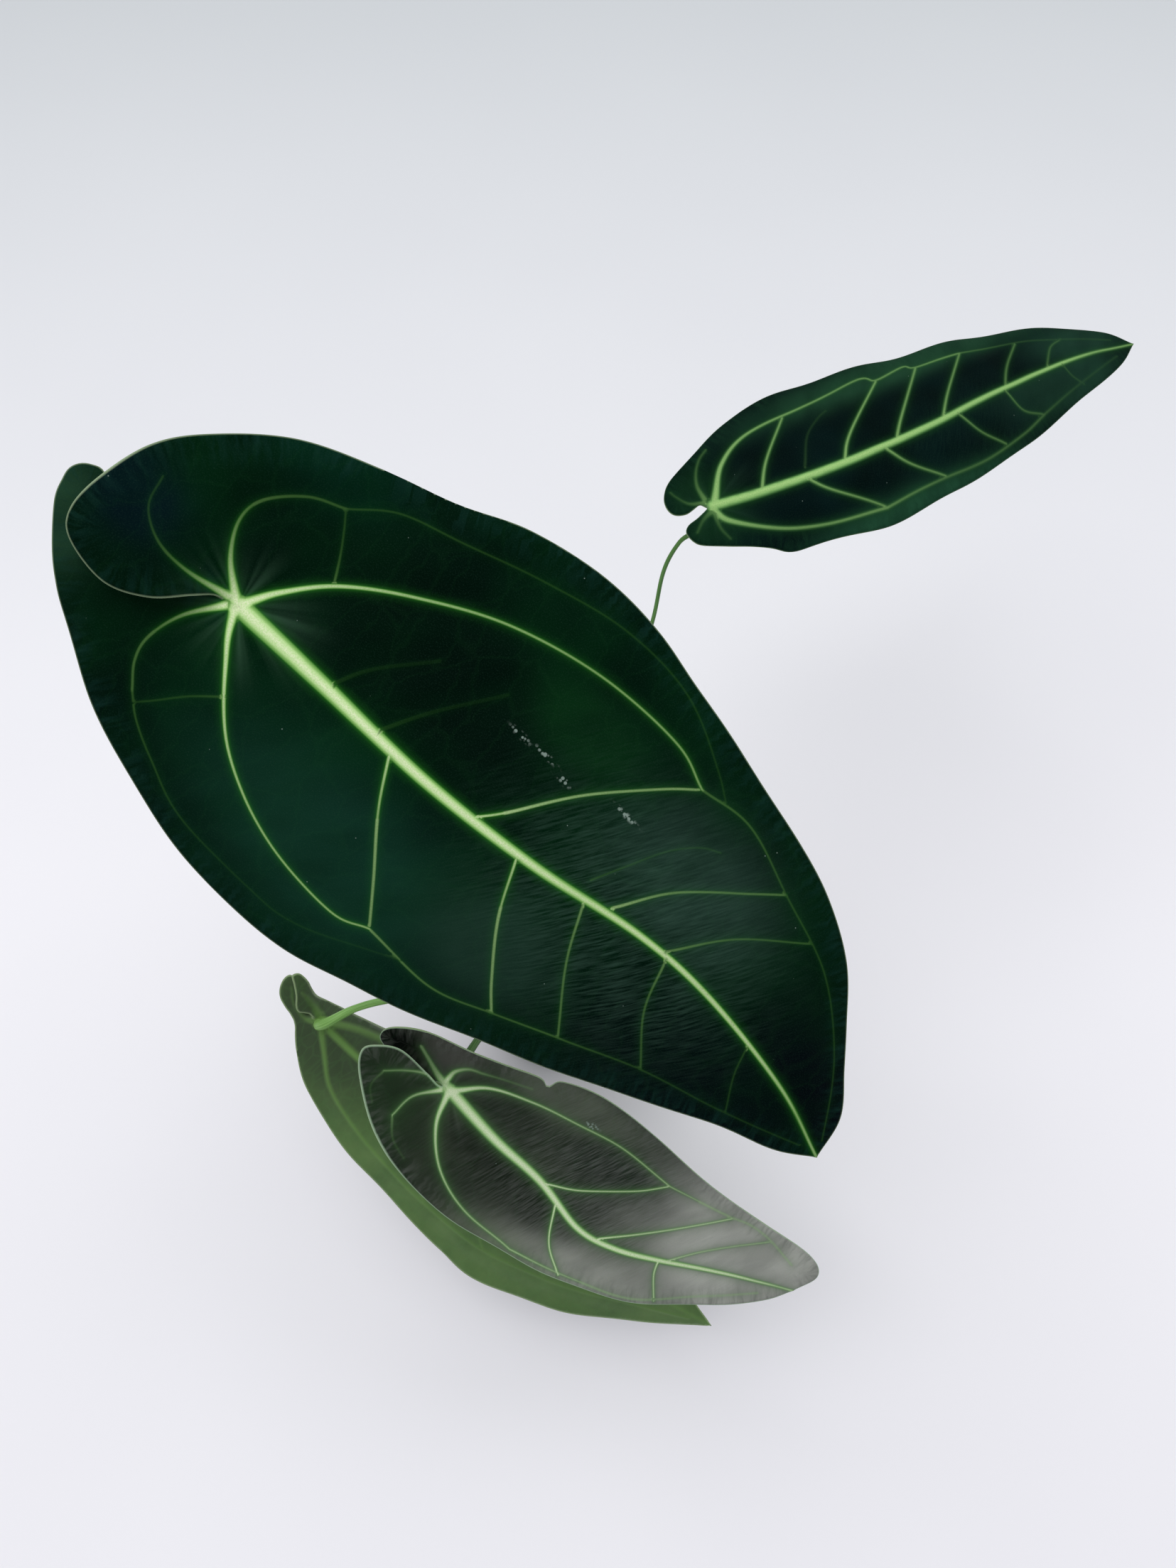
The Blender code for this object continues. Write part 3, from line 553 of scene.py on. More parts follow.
def pattern(tree, kind, place, sizes, levels, ends=(0.0, 1.0), slant=0, unit=MM, sockets=None,
            **settings):
    """A texture whose features have sizes in millimetres and lie at a slant. What it gives between
    two levels is spread from one end value to the other."""
    laid = add_node(tree, "Mapping", {
        "Vector": place, "Rotation": (0, 0, math.radians(slant)),
        "Scale": [size * unit for size in sizes]}, vector_type="TEXTURE")
    texture = add_node(tree, kind, {"Vector": laid, "Scale": 1.0, **(sockets or {})}, **settings)
    return add_node(tree, "MapRange", {"Value": texture, "From Min": levels[0],
                                       "From Max": levels[1], "To Min": ends[0],
                                       "To Max": ends[1]})


def oval_spot(tree, place, centre, reach):
    """How deep inside an oval spot a place lies, from 0 outside it to 1 well inside. The spot's
    centre and reach are leaf millimetres."""
    (x, y), (reach_x, reach_y) = centre, reach
    spot = add_node(tree, "Mapping", {
        "Vector": place, "Location": (-x / reach_x, -y / reach_y, 0.0),
        "Scale": (1 / (reach_x * MM), 1 / (reach_y * MM), 1.0)})
    spot = add_node(tree, "TexGradient", {"Vector": spot}, output="Fac",
                    gradient_type="QUADRATIC_SPHERE")
    return add_node(tree, "MapRange", {"Value": spot, "From Max": 0.6},
                    interpolation_type="SMOOTHSTEP")


def coated(tree, ground, coats):
    """The ground's colour under coats of others. A coat is its tone and the things that together
    say how strongly it covers."""
    for tone, cover, *others in coats:
        for other in others:
            cover = add_node(tree, "Math", {0: cover, 1: other}, operation="MULTIPLY")
        ground = add_node(tree, "Mix", {MIX_FACTOR: cover, UNDER_COLOUR: ground,
                                        OVER_COLOUR: tone}, output=MIXED_COLOUR,
                          data_type="RGBA")
    return ground


def surface(tree, relief, strength, depth, sockets):
    """Gives a material's shader its values and a fine relief so many millimetres deep."""
    normal = add_node(tree, "Bump", {"Height": relief, "Strength": strength,
                                     "Distance": depth * MM})
    fill_sockets(tree, tree.nodes["Principled BSDF"], {"Normal": normal, **sockets})


def velvet_material(look):
    """Velvet leaf face: a living leaf whose face is packed with tiny upright cells. They swallow
    the light, so the green is nearly black, with no hard gloss. Its soft grey bloom of sheen is
    painted into the colour, with painted shade where the blade turns away from the light."""
    material, tree = new_material(look["name"])
    place = add_node(tree, "Attribute", {}, output="Vector", attribute_name="place")
    edge, depth, pale, glow, margin, margin_run, left_half = (
        add_node(tree, "Attribute", {}, output="Fac", attribute_name=name) for name in VALUES)
    right_half = add_node(tree, "Math", {0: 1.0, 1: left_half}, operation="SUBTRACT")
    halves = {"both": [], "left": [left_half], "right": [right_half]}
    # patches 40 mm across where the green is a little fresher
    coats = [(look["fresh"], pattern(tree, "TexNoise", place, (40, 40, FLAT), (0.35, 0.7)))]
    # painted sheen and shade: oval spots of another tone, lighter and greyer where the velvet
    # catches the light and near black where it lies in shade, on both halves or on one, thinner in
    # folds 14 mm across
    folds = pattern(tree, "TexNoise", place, (14, 45, FLAT), (0.35, 0.6), (0.7, 1.0), -38,
                    sockets={"Detail": 3.0})
    coats += [(tone, oval_spot(tree, place, centre, reach), *halves[half], strength, folds)
              for centre, reach, tone, strength, half in look["painted_sheen_and_shade"]]
    # painted sheen: light streaks 0.8 mm wide and 11 mm long, slanted the same way on both
    # halves, where the pile catches the light
    centre, reach, tone, strength = look["painted_sheen_streaks"]
    streaks = pattern(tree, "TexNoise", place, (0.8, 11, FLAT), (0.38, 0.8), (0.0, strength),
                      -32, sockets={"Detail": 3.0, "Roughness": 0.6})
    coats.append((tone, streaks, oval_spot(tree, place, centre, reach)))
    # painted highlight on the creases that spread from the stalk, 15 to a turn and 20 mm long:
    # their crests are painted lighter where the light catches them
    tone, strength = look["crease_sheen"]
    bearing = add_node(tree, "TexGradient", {"Vector": place}, output="Fac",
                       gradient_type="RADIAL")
    bearing = add_node(tree, "CombineXYZ", {"X": bearing})
    crease_highlights = pattern(tree, "TexNoise", bearing, (1 / 15, 1, 1), (0.42, 0.7), (0.0, strength),
                      unit=1, sockets={"Roughness": 0.6})
    coats.append((tone, crease_highlights, oval_spot(tree, place, (6, 0), (44, 36))))
    # short pleats 2.4 mm apart that run in from the margin, raised in the relief, with painted
    # sheen on their crests
    beside_margin = add_node(tree, "CombineXYZ", {"X": margin_run, "Y": margin})
    pleats = pattern(tree, "TexNoise", beside_margin, (2.4, 12, 1), (0.42, 0.72), unit=1)
    near_margin = add_node(tree, "MapRange", {"Value": margin, "From Min": 12.0,
                                              "From Max": 2.0, "To Max": 0.5})
    pleats = add_node(tree, "Math", {0: pleats, 1: near_margin}, operation="MULTIPLY")
    coats.append((look["pleat_sheen"], pleats))
    # net of the finest veinlets, with meshes 12 by 22 mm that are crooked by up to 5 mm
    crooked = add_node(tree, "TexNoise", {"Vector": place, "Scale": 1 / (5 * MM),
                                          "Detail": 1.0}, output="Color")
    crooked = add_node(tree, "VectorMath", {0: crooked, 1: (5 * MM, 5 * MM, 5 * MM), 2: place},
                       operation="MULTIPLY_ADD")
    coats.append(("#2c6a35", pattern(tree, "TexVoronoi", crooked, (12, 22, FLAT), (0.05, 0.0),
                                     (0.0, look["net"]), feature="DISTANCE_TO_EDGE")))
    # pile grains 0.5 mm across, coarser than the real cells so that they show; the higher grains
    # get a painted grey sheen
    pile = pattern(tree, "TexNoise", place, (0.5, 0.5, FLAT), (0.0, 1.0),
                   sockets={"Detail": 3.0, "Roughness": 0.6})
    pile_sheen = add_node(tree, "MapRange", {"Value": pile, "From Min": 0.5, "From Max": 0.75,
                                        "To Max": 0.09})
    # painted grey sheen on the pile grains, and green light beside the veins
    glow_tone, glow_strength, _ = look["glow"]
    coats += [("#3d5c4a", pile_sheen), (glow_tone, glow, glow_strength)]
    # veins: green at their edges, lime inside, cream on the crest with grains 0.6 mm across
    edge_tone, lime, cream = look["veins"]
    fill = add_node(tree, "MapRange", {"Value": depth, "From Max": 0.5, "To Max": pale})
    crest = add_node(tree, "MapRange", {"Value": depth, "From Min": 0.3, "From Max": 0.85})
    grains = pattern(tree, "TexNoise", place, (0.6, 0.6, FLAT), (0.33, 0.62), (0.35, 1.0),
                     sockets={"Roughness": 0.7})
    vein = coated(tree, edge_tone, [(lime, fill), (cream, grains, crest, pale, pale)])
    inside = add_node(tree, "MapRange", {"Value": edge, "From Min": look["soft"],
                                         "From Max": -look["soft"]},
                      interpolation_type="SMOOTHSTEP")
    inside = add_node(tree, "Math", {0: inside, 1: pale}, operation="MULTIPLY")
    coats.append((vein, inside))
    # pale line along the margin, broadest round the lobe that lies on top: partly the leaf's own
    # thin pale edge, partly a painted highlight where the rolled edge catches the light
    tone, strength, (centre, reach, half) = look["rim"]
    broad = add_node(tree, "Math", {0: oval_spot(tree, place, centre, reach),
                                    1: halves[half][0]}, operation="MULTIPLY")
    line_end, line_strength = (
        add_node(tree, "Math", {0: broad, 1: more, 2: least}, operation="MULTIPLY_ADD")
        for more, least in ((0.7, 0.5), (0.9 - strength, strength)))
    line = add_node(tree, "MapRange", {"Value": margin, "From Min": line_end, "From Max": 0.2,
                                       "To Max": line_strength})
    # specks of dust 0.4 mm across and 9 mm apart, and a crust of dust where a drop has dried
    specks = pattern(tree, "TexVoronoi", place, (9, 9, FLAT), (0.03, 0.015), (0.0, 0.35))
    crust = pattern(tree, "TexVoronoi", place, (1.4, 1.4, FLAT), (0.5, 0.35), (0.0, 0.5))
    coats += [(tone, line), ("#a8bdb2", specks)]
    coats += [("#9fb3a8", crust, oval_spot(tree, place, *spot)) for spot in look["dust"]]
    relief = add_node(tree, "Math", {0: pleats, 1: 3.0, 2: pile}, operation="MULTIPLY_ADD")
    roughness = add_node(tree, "MapRange", {"Value": inside, "To Min": 0.72, "To Max": 0.5})
    surface(tree, relief, 0.5, 0.15, {
        "Base Color": coated(tree, look["deep"], coats), "Roughness": roughness, "IOR": 1.4,
        "Specular IOR Level": 0.02, "Sheen Weight": look["sheen"], "Sheen Roughness": 0.45,
        "Sheen Tint": "#b9c9bd"})
    return material


def underside_material():
    """Leaf underside: smooth living leaf without the pile, a satin mid green, darkened to olive
    near the stalk by painted shade, over which the veins stand up brighter and rounded."""
    material, tree = new_material("satin leaf underside")
    place = add_node(tree, "Attribute", {}, output="Vector", attribute_name="place")
    edge, pale, margin = (
        add_node(tree, "Attribute", {}, output="Fac", attribute_name=name)
        for name in ("vein_edge", "vein_pale", "margin_gap"))
    # patches 30 mm across, a net of veinlets with meshes 5 by 9 mm, and grain of 0.8 mm
    mottle = pattern(tree, "TexNoise", place, (30, 30, FLAT), (0.3, 0.7),
                     sockets={"Detail": 4.0, "Roughness": 0.6})
    net = pattern(tree, "TexVoronoi", place, (5, 9, FLAT), (0.12, 0.0), (0.0, 0.1),
                  feature="DISTANCE_TO_EDGE")
    grain = pattern(tree, "TexNoise", place, (0.8, 0.8, FLAT), (0.0, 1.0),
                    sockets={"Detail": 3.0})
    # painted shade: olive round the stalk, where the turned blade lies in shade
    shade_by_stalk = oval_spot(tree, place, (8, 0), (110, 80))
    inside = add_node(tree, "MapRange", {"Value": edge, "From Min": 1.4, "From Max": -1.2},
                      interpolation_type="SMOOTHSTEP")
    line = add_node(tree, "MapRange", {"Value": margin, "From Min": 1.0, "From Max": 0.3,
                                       "To Max": 0.6})
    colour = coated(tree, "#42612f", [
        ("#58763f", mottle), ("#27381f", shade_by_stalk, 0.85), ("#4d8040", net),
        ("#6c9748", inside, pale), ("#9db583", line)])
    relief = add_node(tree, "Math", {0: grain, 1: net}, operation="ADD")
    surface(tree, relief, 0.4, 0.15, {
        "Base Color": colour, "Roughness": 0.48, "IOR": 1.4, "Specular IOR Level": 0.4,
        "Sheen Weight": 0.1})
    return material


def stalk_material(name, shaded, lit, swollen):
    """Leaf stalk: firm, smooth living stalk, satin green with fine lengthwise streaks, paler and
    yellower where it swells under the blade, brownish where it leaves the stem."""
    material, tree = new_material(name)
    place = add_node(tree, "Attribute", {}, output="Vector", attribute_name="place")
    risen = add_node(tree, "Attribute", {}, output="Fac", attribute_name="risen")
    # The place runs round a circle of 1 mm, so streaks of 0.25 mm on it are 0.5 mm wide on the
    # stalk. They are 20 mm long.
    streaks = pattern(tree, "TexNoise", place, (0.25, 0.25, 20), (0.35, 0.7),
                      sockets={"Detail": 3.0})
    neck, foot = (
        add_node(tree, "MapRange", {"Value": risen, "From Min": start, "From Max": end,
                                    "To Max": most})
        for start, end, most in ((0.72, 1.0, 0.75), (0.3, 0.1, 0.6)))
    colour = coated(tree, shaded, [(lit, streaks), (swollen, neck), ("#6a6136", foot)])
    surface(tree, streaks, 0.4, 0.1, {"Base Color": colour, "Roughness": 0.42, "IOR": 1.4,
                                      "Specular IOR Level": 0.4})
    return material


def fibre_material(name, dark, light):
    """Dry plant fibre: dead scale leaves and stem skin, matt, brown and ribbed lengthwise."""
    material, tree = new_material(name)
    where = add_node(tree, "TexCoord", {}, output="Object")
    # fibres 0.6 mm wide and 12 mm long
    fibres = pattern(tree, "TexNoise", where, (0.6, 0.6, 12), (0.3, 0.7),
                     sockets={"Detail": 4.0, "Roughness": 0.6})
    surface(tree, fibres, 0.7, 0.3, {"Base Color": coated(tree, dark, [(light, fibres)]),
                                     "Roughness": 0.85, "Specular IOR Level": 0.25})
    return material


def crumb_material(name, dark, light, grain, roughness):
    """Loose mix: broken bark or expanded rock, matt, each bit of its own shade."""
    material, tree = new_material(name)
    where = add_node(tree, "TexCoord", {}, output="Object")
    tone = add_node(tree, "Attribute", {}, output="Fac", attribute_name="tone")
    grains = pattern(tree, "TexNoise", where, (grain, grain, grain), (0.0, 1.0),
                     sockets={"Detail": 4.0, "Roughness": 0.65})
    shade = add_node(tree, "Mix", {MIX_FACTOR: 0.55, UNDER_NUMBER: tone, OVER_NUMBER: grains},
                     data_type="FLOAT")
    surface(tree, grains, 0.8, 0.4, {"Base Color": coated(tree, dark, [(light, shade)]),
                                     "Roughness": roughness, "Specular IOR Level": 0.2})
    return material


def pot_material():
    """Polypropylene, injection moulded: dark, satin, with a fine moulded grain and the dull
    scuffs and water marks of a used nursery pot."""
    material, tree = new_material("moulded polypropylene")
    where = add_node(tree, "TexCoord", {}, output="Object")
    # marks 22 mm across, and grain of 0.9 mm, coarser than the mould's so that it shows
    marks = pattern(tree, "TexNoise", where, (22, 22, 22), (0.45, 0.75), (0.0, 0.5),
                    sockets={"Detail": 5.0, "Roughness": 0.65})
    grain = pattern(tree, "TexNoise", where, (0.9, 0.9, 0.9), (0.0, 1.0))
    roughness = add_node(tree, "MapRange", {"Value": marks, "To Min": 0.42, "To Max": 0.85})
    surface(tree, grain, 0.35, 0.1, {
        "Base Color": coated(tree, "#26282a", [("#3c3e3f", marks)]), "Roughness": roughness,
        "IOR": 1.49})
    return material


def floor_material():
    """Matt pale floor: smooth white board with faint clouds, and painted shade that greys it
    further back.
    """
    material, tree = new_material("matt pale floor")
    where = add_node(tree, "TexCoord", {}, output="Object")
    cloud = add_node(tree, "TexNoise", {"Vector": where, "Scale": 1 / (FLOOR_CLOUD * MM)})
    # painted shade: the floor greys further back, where the light falls off
    painted_shade_behind = add_node(tree, "SeparateXYZ", {"Vector": where}, output="Y")
    painted_shade_behind = add_node(tree, "MapRange", {"Value": painted_shade_behind, "From Min": FLOOR_FRONT,
                                          "From Max": FLOOR_BACK, "To Max": 0.8})
    colour = coated(tree, "#edecf0", [("#f6f5f8", cloud), ("#c3cacb", painted_shade_behind)])
    fill_sockets(tree, tree.nodes["Principled BSDF"], {
        "Base Color": colour, "Roughness": 0.8, "Specular IOR Level": 0.2})
    return material


def smooth_path(points, shares, begin=0, end=None):
    """Places on a Catmull-Rom curve through the points, each at a share of the length between the
    begin and the end point."""
    knots = np.array(points, dtype=float)
    padded = np.vstack([2 * knots[0] - knots[1], knots, 2 * knots[-1] - knots[-2]])
    end = len(knots) - 1 if end is None else end
    fine = []
    for index in range(begin, end):
        first, second, third, fourth = padded[index:index + 4]
        for share in np.linspace(0, 1, PATH_STEPS, endpoint=False):
            fine.append(0.5 * (2 * second + (third - first) * share
                               + (2 * first - 5 * second + 4 * third - fourth) * share ** 2
                               + (3 * second - first - 3 * third + fourth) * share ** 3))
    fine = np.array(fine + [knots[end]])
    run = np.concatenate([[0], np.cumsum(np.linalg.norm(np.diff(fine, axis=0), axis=1))])
    wanted = np.asarray(shares) * run[-1]
    return np.column_stack([np.interp(wanted, run, column) for column in fine.T])


def leaf_axes(leaf):
    junction = Vector(leaf["junction"]) * MM
    along = Vector(leaf["tip"]) * MM - junction
    along.normalize()
    raised = Vector(leaf["face"])
    raised -= raised.dot(along) * along
    raised.normalize()
    return junction, along, raised.cross(along), raised


def form_of_half(leaf, side):
    """The half's form as a fine grid of leaf places, from its ribs out to its margin."""
    half = leaf[side]
    lobe = np.linspace(0, 1, LOBE_COLUMNS + 1)
    down = np.linspace(0, 1, SIDE_COLUMNS + 1)
    sinus = smooth_path(half["margin"], lobe ** LOBE_EASE, end=half["lobe_tip"])
    flank = smooth_path(half["margin"], lobe, half["lobe_tip"], half["shoulder"])
    edge = smooth_path(half["margin"], down ** (1 / half["sweep"]), half["shoulder"])
    rib = np.outer(np.minimum(lobe / RIB_SHARE, 1), half["lobe_heart"])
    midrib = smooth_path(leaf["midrib"], down)
    inner = np.vstack([rib, rib[-2::-1], midrib[1:]])
    outer = np.vstack([sinus, flank[1:], edge[1:]])
    run = np.concatenate([[0], np.cumsum(np.linalg.norm(np.diff(outer, axis=0), axis=1))])
    row = np.linspace(0, 1, FORM_ROWS)
    grid = inner[:, None] * (1 - row)[None, :, None] + outer[:, None] * row[None, :, None]
    grid[..., 2] = inner[:, None, 2] + (outer - inner)[:, None, 2] * row[None] ** BOWL
    swing = np.sin(2 * math.pi * run / WAVE_LENGTH + WAVE_START[side])
    swing *= np.sin(math.pi * run / run[-1])
    grid[..., 2] += WAVE_HEIGHT * row[None] ** 3 * swing[:, None]
    return grid, midrib


def heights_on(grid, places):
    """Height of the half's form above each place of its plan."""
    columns, rows = grid.shape[:2]
    index = np.arange(columns * rows).reshape(columns, rows)
    corners = [index[:-1, :-1], index[1:, :-1], index[1:, 1:], index[:-1, 1:]]
    triangles = np.vstack([np.stack([corners[0], corners[1], corners[2]], -1).reshape(-1, 3),
                           np.stack([corners[0], corners[2], corners[3]], -1).reshape(-1, 3)])
    points = grid.reshape(-1, 3)
    first, second, third = (points[triangles[:, corner]] for corner in range(3))
    area = np.abs(cross_plan(second - first, third - first))
    triangles = triangles[area > NO_AREA]
    flat = np.column_stack([points[:, :2], np.zeros(len(points))])
    tree = BVHTree.FromPolygons(flat.tolist(), triangles.tolist())
    found = [tree.find_nearest((x, y, 0))[2] for x, y in places]
    first, second, third = (points[triangles[found][:, corner]] for corner in range(3))
    whole = cross_plan(second - first, third - first)
    spot = np.column_stack([places, np.zeros(len(places))])
    towards_second = cross_plan(spot - first, third - first) / whole
    towards_third = cross_plan(second - first, spot - first) / whole
    shares = np.clip(np.column_stack([1 - towards_second - towards_third, towards_second,
                                      towards_third]), 0, 1)
    shares /= shares.sum(axis=1, keepdims=True)
    return shares[:, 0] * first[:, 2] + shares[:, 1] * second[:, 2] + shares[:, 2] * third[:, 2]


def cross_plan(first, second):
    return first[:, 0] * second[:, 1] - first[:, 1] * second[:, 0]


def vein_samples(leaf_name, side):
    """Places every millimetre along the half's veins: x, y, half width, paleness, rise, and the
    direction across the vein."""
    widths, paleness = VEINS[leaf_name]["midrib"]
    shares = np.linspace(0, 1, MIDRIB_SAMPLES)
    knots = np.linspace(0, 1, len(widths))
    path = smooth_path([point[:2] for point in LEAVES[leaf_name]["midrib"]], shares)
    samples = [np.column_stack([path, np.interp(shares, knots, widths) / 2,
                                np.interp(shares, knots, paleness),
                                MIDRIB_RISE * np.interp(shares, [0, 1], [1, MIDRIB_END]),
                                across(path)])]
    samples.append(np.array([[0, 0, BOSS_RADIUS, 1.0, BOSS_RISE, 0, 1]]))
    for places, start, end, pale_start, pale_end in VEINS[leaf_name][side]:
        length = np.linalg.norm(np.diff(np.array(places, dtype=float), axis=0), axis=1).sum()
        shares = np.linspace(0, 1, max(int(length / VEIN_STEP), 4))
        path = smooth_path(places, shares)
        fall = 1 - (1 - shares) ** 3
        flare = FLARE_WIDTH * np.exp(-np.linalg.norm(path, axis=1) / FLARE_REACH)
        samples.append(np.column_stack([path, (start + (end - start) * fall) / 2 + flare,
                                        pale_start + (pale_end - pale_start) * fall,
                                        VEIN_RISE * (1 - VEIN_SINK * shares), across(path)]))
    return np.vstack(samples)


def across(path):
    heading = np.gradient(path, axis=0)
    heading /= np.linalg.norm(heading, axis=1, keepdims=True)
    return np.column_stack([-heading[:, 1], heading[:, 0]])


def inside_outline(points, outline):
    following = np.roll(outline, -1, axis=0)
    within = np.zeros(len(points), dtype=bool)
    for (x1, y1), (x2, y2) in zip(outline, following):
        if y1 != y2:
            crosses = (y1 > points[:, 1]) != (y2 > points[:, 1])
            within ^= crosses & (points[:, 0] < (x2 - x1) * (points[:, 1] - y1) / (y2 - y1) + x1)
    return within


def thinned(points, kept, closest):
    """The points that lie no closer than a distance to one another and to those kept before."""
    cells = {}
    for x, y in kept:
        cells.setdefault((int(x // closest), int(y // closest)), []).append((x, y))
    chosen = []
    for x, y in points:
        column, row = int(x // closest), int(y // closest)
        near = [other for i in (-1, 0, 1) for j in (-1, 0, 1)
                for other in cells.get((column + i, row + j), ())]
        if all((x - u) ** 2 + (y - v) ** 2 >= closest ** 2 for u, v in near):
            chosen.append((x, y))
            cells.setdefault((column, row), []).append((x, y))
    return chosen


def half_sheet(leaf_name, side):
    """Triangles of one half: its seam along the midrib first, then its margin, then places on and
    beside the veins, then an even field between them."""
    grid, midrib = form_of_half(LEAVES[leaf_name], side)
    foot = np.linspace(grid[0, -1], (0, 0, 0), FOOT_POINTS)[:-1]
    seam = np.vstack([foot, midrib])
    margin = grid[1:-1, -1]
    wide_enough = [0]
    for number in range(1, len(margin)):
        if np.linalg.norm(margin[number] - margin[wide_enough[-1]]) > 2 * CLOSEST:
            wide_enough.append(number)
    outline = np.vstack([seam, margin[wide_enough][::-1]])
    veins = vein_samples(leaf_name, side)
    centre, half_width, sideways = veins[:, :2], veins[:, 2:3], veins[:, 5:7]
    low, high = outline[:, :2].min(axis=0), outline[:, :2].max(axis=0)
    rows = np.arange(low[1], high[1], CELL * math.sqrt(3) / 2)
    field = [(x + (number % 2) * CELL / 2, y) for number, y in enumerate(rows)
             for x in np.arange(low[0], high[0], CELL)]
    kept = list(map(tuple, outline[:, :2]))
    beside = [(centre + hand * sideways * (half_width + out), gap)
              for out, gap in ((0, EDGE_GAP), (GLOW_ROW, VEIN_GAP)) for hand in (1, -1)]
    for candidates, closest in ((centre, VEIN_GAP), *beside, (np.array(field), FIELD_GAP)):
        candidates = candidates[inside_outline(candidates, outline[:, :2])]
        kept += thinned(candidates, kept, closest)
    count = len(outline)
    edges = [(number, (number + 1) % count) for number in range(count)]
    made = delaunay_2d_cdt([Vector(place) for place in kept], edges, [],
                           ONLY_INSIDE, NO_GAP)
    places = np.array([tuple(place) for place in made[0]])
    origin = [min(came_from) if came_from else -1 for came_from in made[3]]
    lift = heights_on(grid, places)
    for number, came_from in enumerate(origin):
        if 0 <= came_from < count:
            lift[number] = outline[came_from, 2]
    return places, lift, made[2], origin, outline[:len(seam)], outline[len(seam):], veins


def vein_values(places, veins, margin, spread):
    """For each place: distance to the nearest vein's edge, the vein's half width, paleness and
    rise there, the glow beside all veins, the distance to the margin and how far along it."""
    steps = np.linalg.norm(np.diff(margin, axis=0), axis=1)
    runs = np.concatenate([[0], np.cumsum(steps)])
    values = []
    for start in range(0, len(places), BATCH):
        part = places[start:start + BATCH]
        apart = np.linalg.norm(part[:, None] - veins[None, :, :2], axis=2)
        beyond = apart - veins[None, :, 2]
        nearest = beyond.argmin(axis=1)
        glow = (veins[None, :, 3] * np.exp(-np.maximum(beyond, 0) / spread)).max(axis=1)
        gaps = np.linalg.norm(part[:, None] - margin[None], axis=2)
        values.append(np.column_stack([beyond.min(axis=1), veins[nearest, 2],
                                       veins[nearest, 3], veins[nearest, 4], glow,
                                       gaps.min(axis=1), runs[gaps.argmin(axis=1)]]))
    return np.vstack(values)


def blade(leaf_name, materials):
    """A whole blade: both halves share the vertices of the seam along the midrib."""
    junction, along, aside, raised = leaf_axes(LEAVES[leaf_name])
    vertices, faces, columns = [], [], []
    seam_numbers = {}
    for side in ("left", "right"):
        places, lift, triangles, origin, seam, margin, veins = half_sheet(leaf_name, side)
        edge, half_width, pale, rise, glow, gap, run = vein_values(
            places, veins, margin[:, :2], LOOKS[leaf_name]["glow"][2]).T
        # the field swells between the veins, and the veins rise over it
        openness = np.clip(gap / QUILT_MARGIN, 0, 1)
        beside = 1 - np.exp(-(np.maximum(edge, 0) / QUILT_SPREAD) ** 2)
        crest = np.clip(-edge / half_width, 0, 1)
        pucker = np.array([noise.noise(Vector((x, y, PUCKER_LAYER)) / PUCKER_SIZE)
                           for x, y in places])
        lift = lift + openness * (QUILT_HEIGHT * beside + PUCKER_HEIGHT * pucker)
        lift = lift + rise * crest * (2 - crest)
        # creases fan out from the junction
        radius, angle = np.hypot(*places.T), np.arctan2(places[:, 1], places[:, 0])
        crease = np.sin(CREASE_COUNT * angle) * np.exp(-radius / CREASE_REACH)
        crease *= np.clip(radius / CREASE_START, 0, 1) * np.clip(edge, 0, 1)
        lift = lift + CREASE_HEIGHT * crease
        # the sheet is full where it is thickest, under a wide vein
        thin = BLADE_THICKNESS / RIDGE_THICKNESS
        wide = np.clip(half_width / RIDGE_VEIN, 0, 1)
        ridge = thin + (1 - thin) * crest * wide * RIDGE_FILL
        numbers = {}
        for number in np.unique(np.array(triangles).reshape(-1)):
            came_from = origin[number]
            on_seam = 0 <= came_from < len(seam)
            if on_seam and came_from in seam_numbers:
                numbers[number] = seam_numbers[came_from]
                continue
            numbers[number] = len(vertices)
            if on_seam:
                seam_numbers[came_from] = len(vertices)
            x, y = places[number] * MM
            vertices.append(junction + along * x + aside * y + raised * (lift[number] * MM))
            columns.append((edge[number], crest[number], pale[number], glow[number],
                            gap[number], run[number], side == "left", ridge[number], x, y, 0))
        faces += [[numbers[corner] for corner in triangle] for triangle in triangles]
    columns = np.array(columns)
    marks = dict(zip(VALUES, columns.T), place=columns[:, 8:])
    piece = meshed_piece(leaf_name + "_blade_velvet", vertices, faces, marks, materials)
    group = piece.vertex_groups.new(name="ridge")
    for number, weight in enumerate(columns[:, 7]):
        group.add([number], float(weight), "REPLACE")
    thicken(piece, RIDGE_THICKNESS, offset=-1, vertex_group="ridge", material_offset=1,
            material_offset_rim=2)
    return piece


def add_piece(name, data, materials=()):
    """Puts a mesh, a lamp, a camera or a curve into the scene as an object."""
    piece = bpy.data.objects.new(name, data)
    bpy.context.scene.collection.objects.link(piece)
    for material in materials:
        piece.data.materials.append(material)
    return piece


def meshed_piece(name, vertices, faces, marks, materials, smooth=True):
    """A piece made of vertices and faces. Its marks are the numbers or vectors that its vertices
    carry for the materials to read."""
    mesh = bpy.data.meshes.new(name)
    mesh.from_pydata(vertices, [], faces)
    for mark, values in marks.items():
        values = np.array(values, dtype=np.float32)
        kind, field = ("FLOAT", "value") if values.ndim == 1 else ("FLOAT_VECTOR", "vector")
        layer = mesh.attributes.new(mark, kind, "POINT")
        layer.data.foreach_set(field, values.reshape(-1))
    if smooth:
        mesh.shade_smooth()
    return add_piece(name, mesh, materials)


def mesh_of(bm, name):
    mesh = bpy.data.meshes.new(name)
    bm.to_mesh(mesh)
    bm.free()
    return mesh


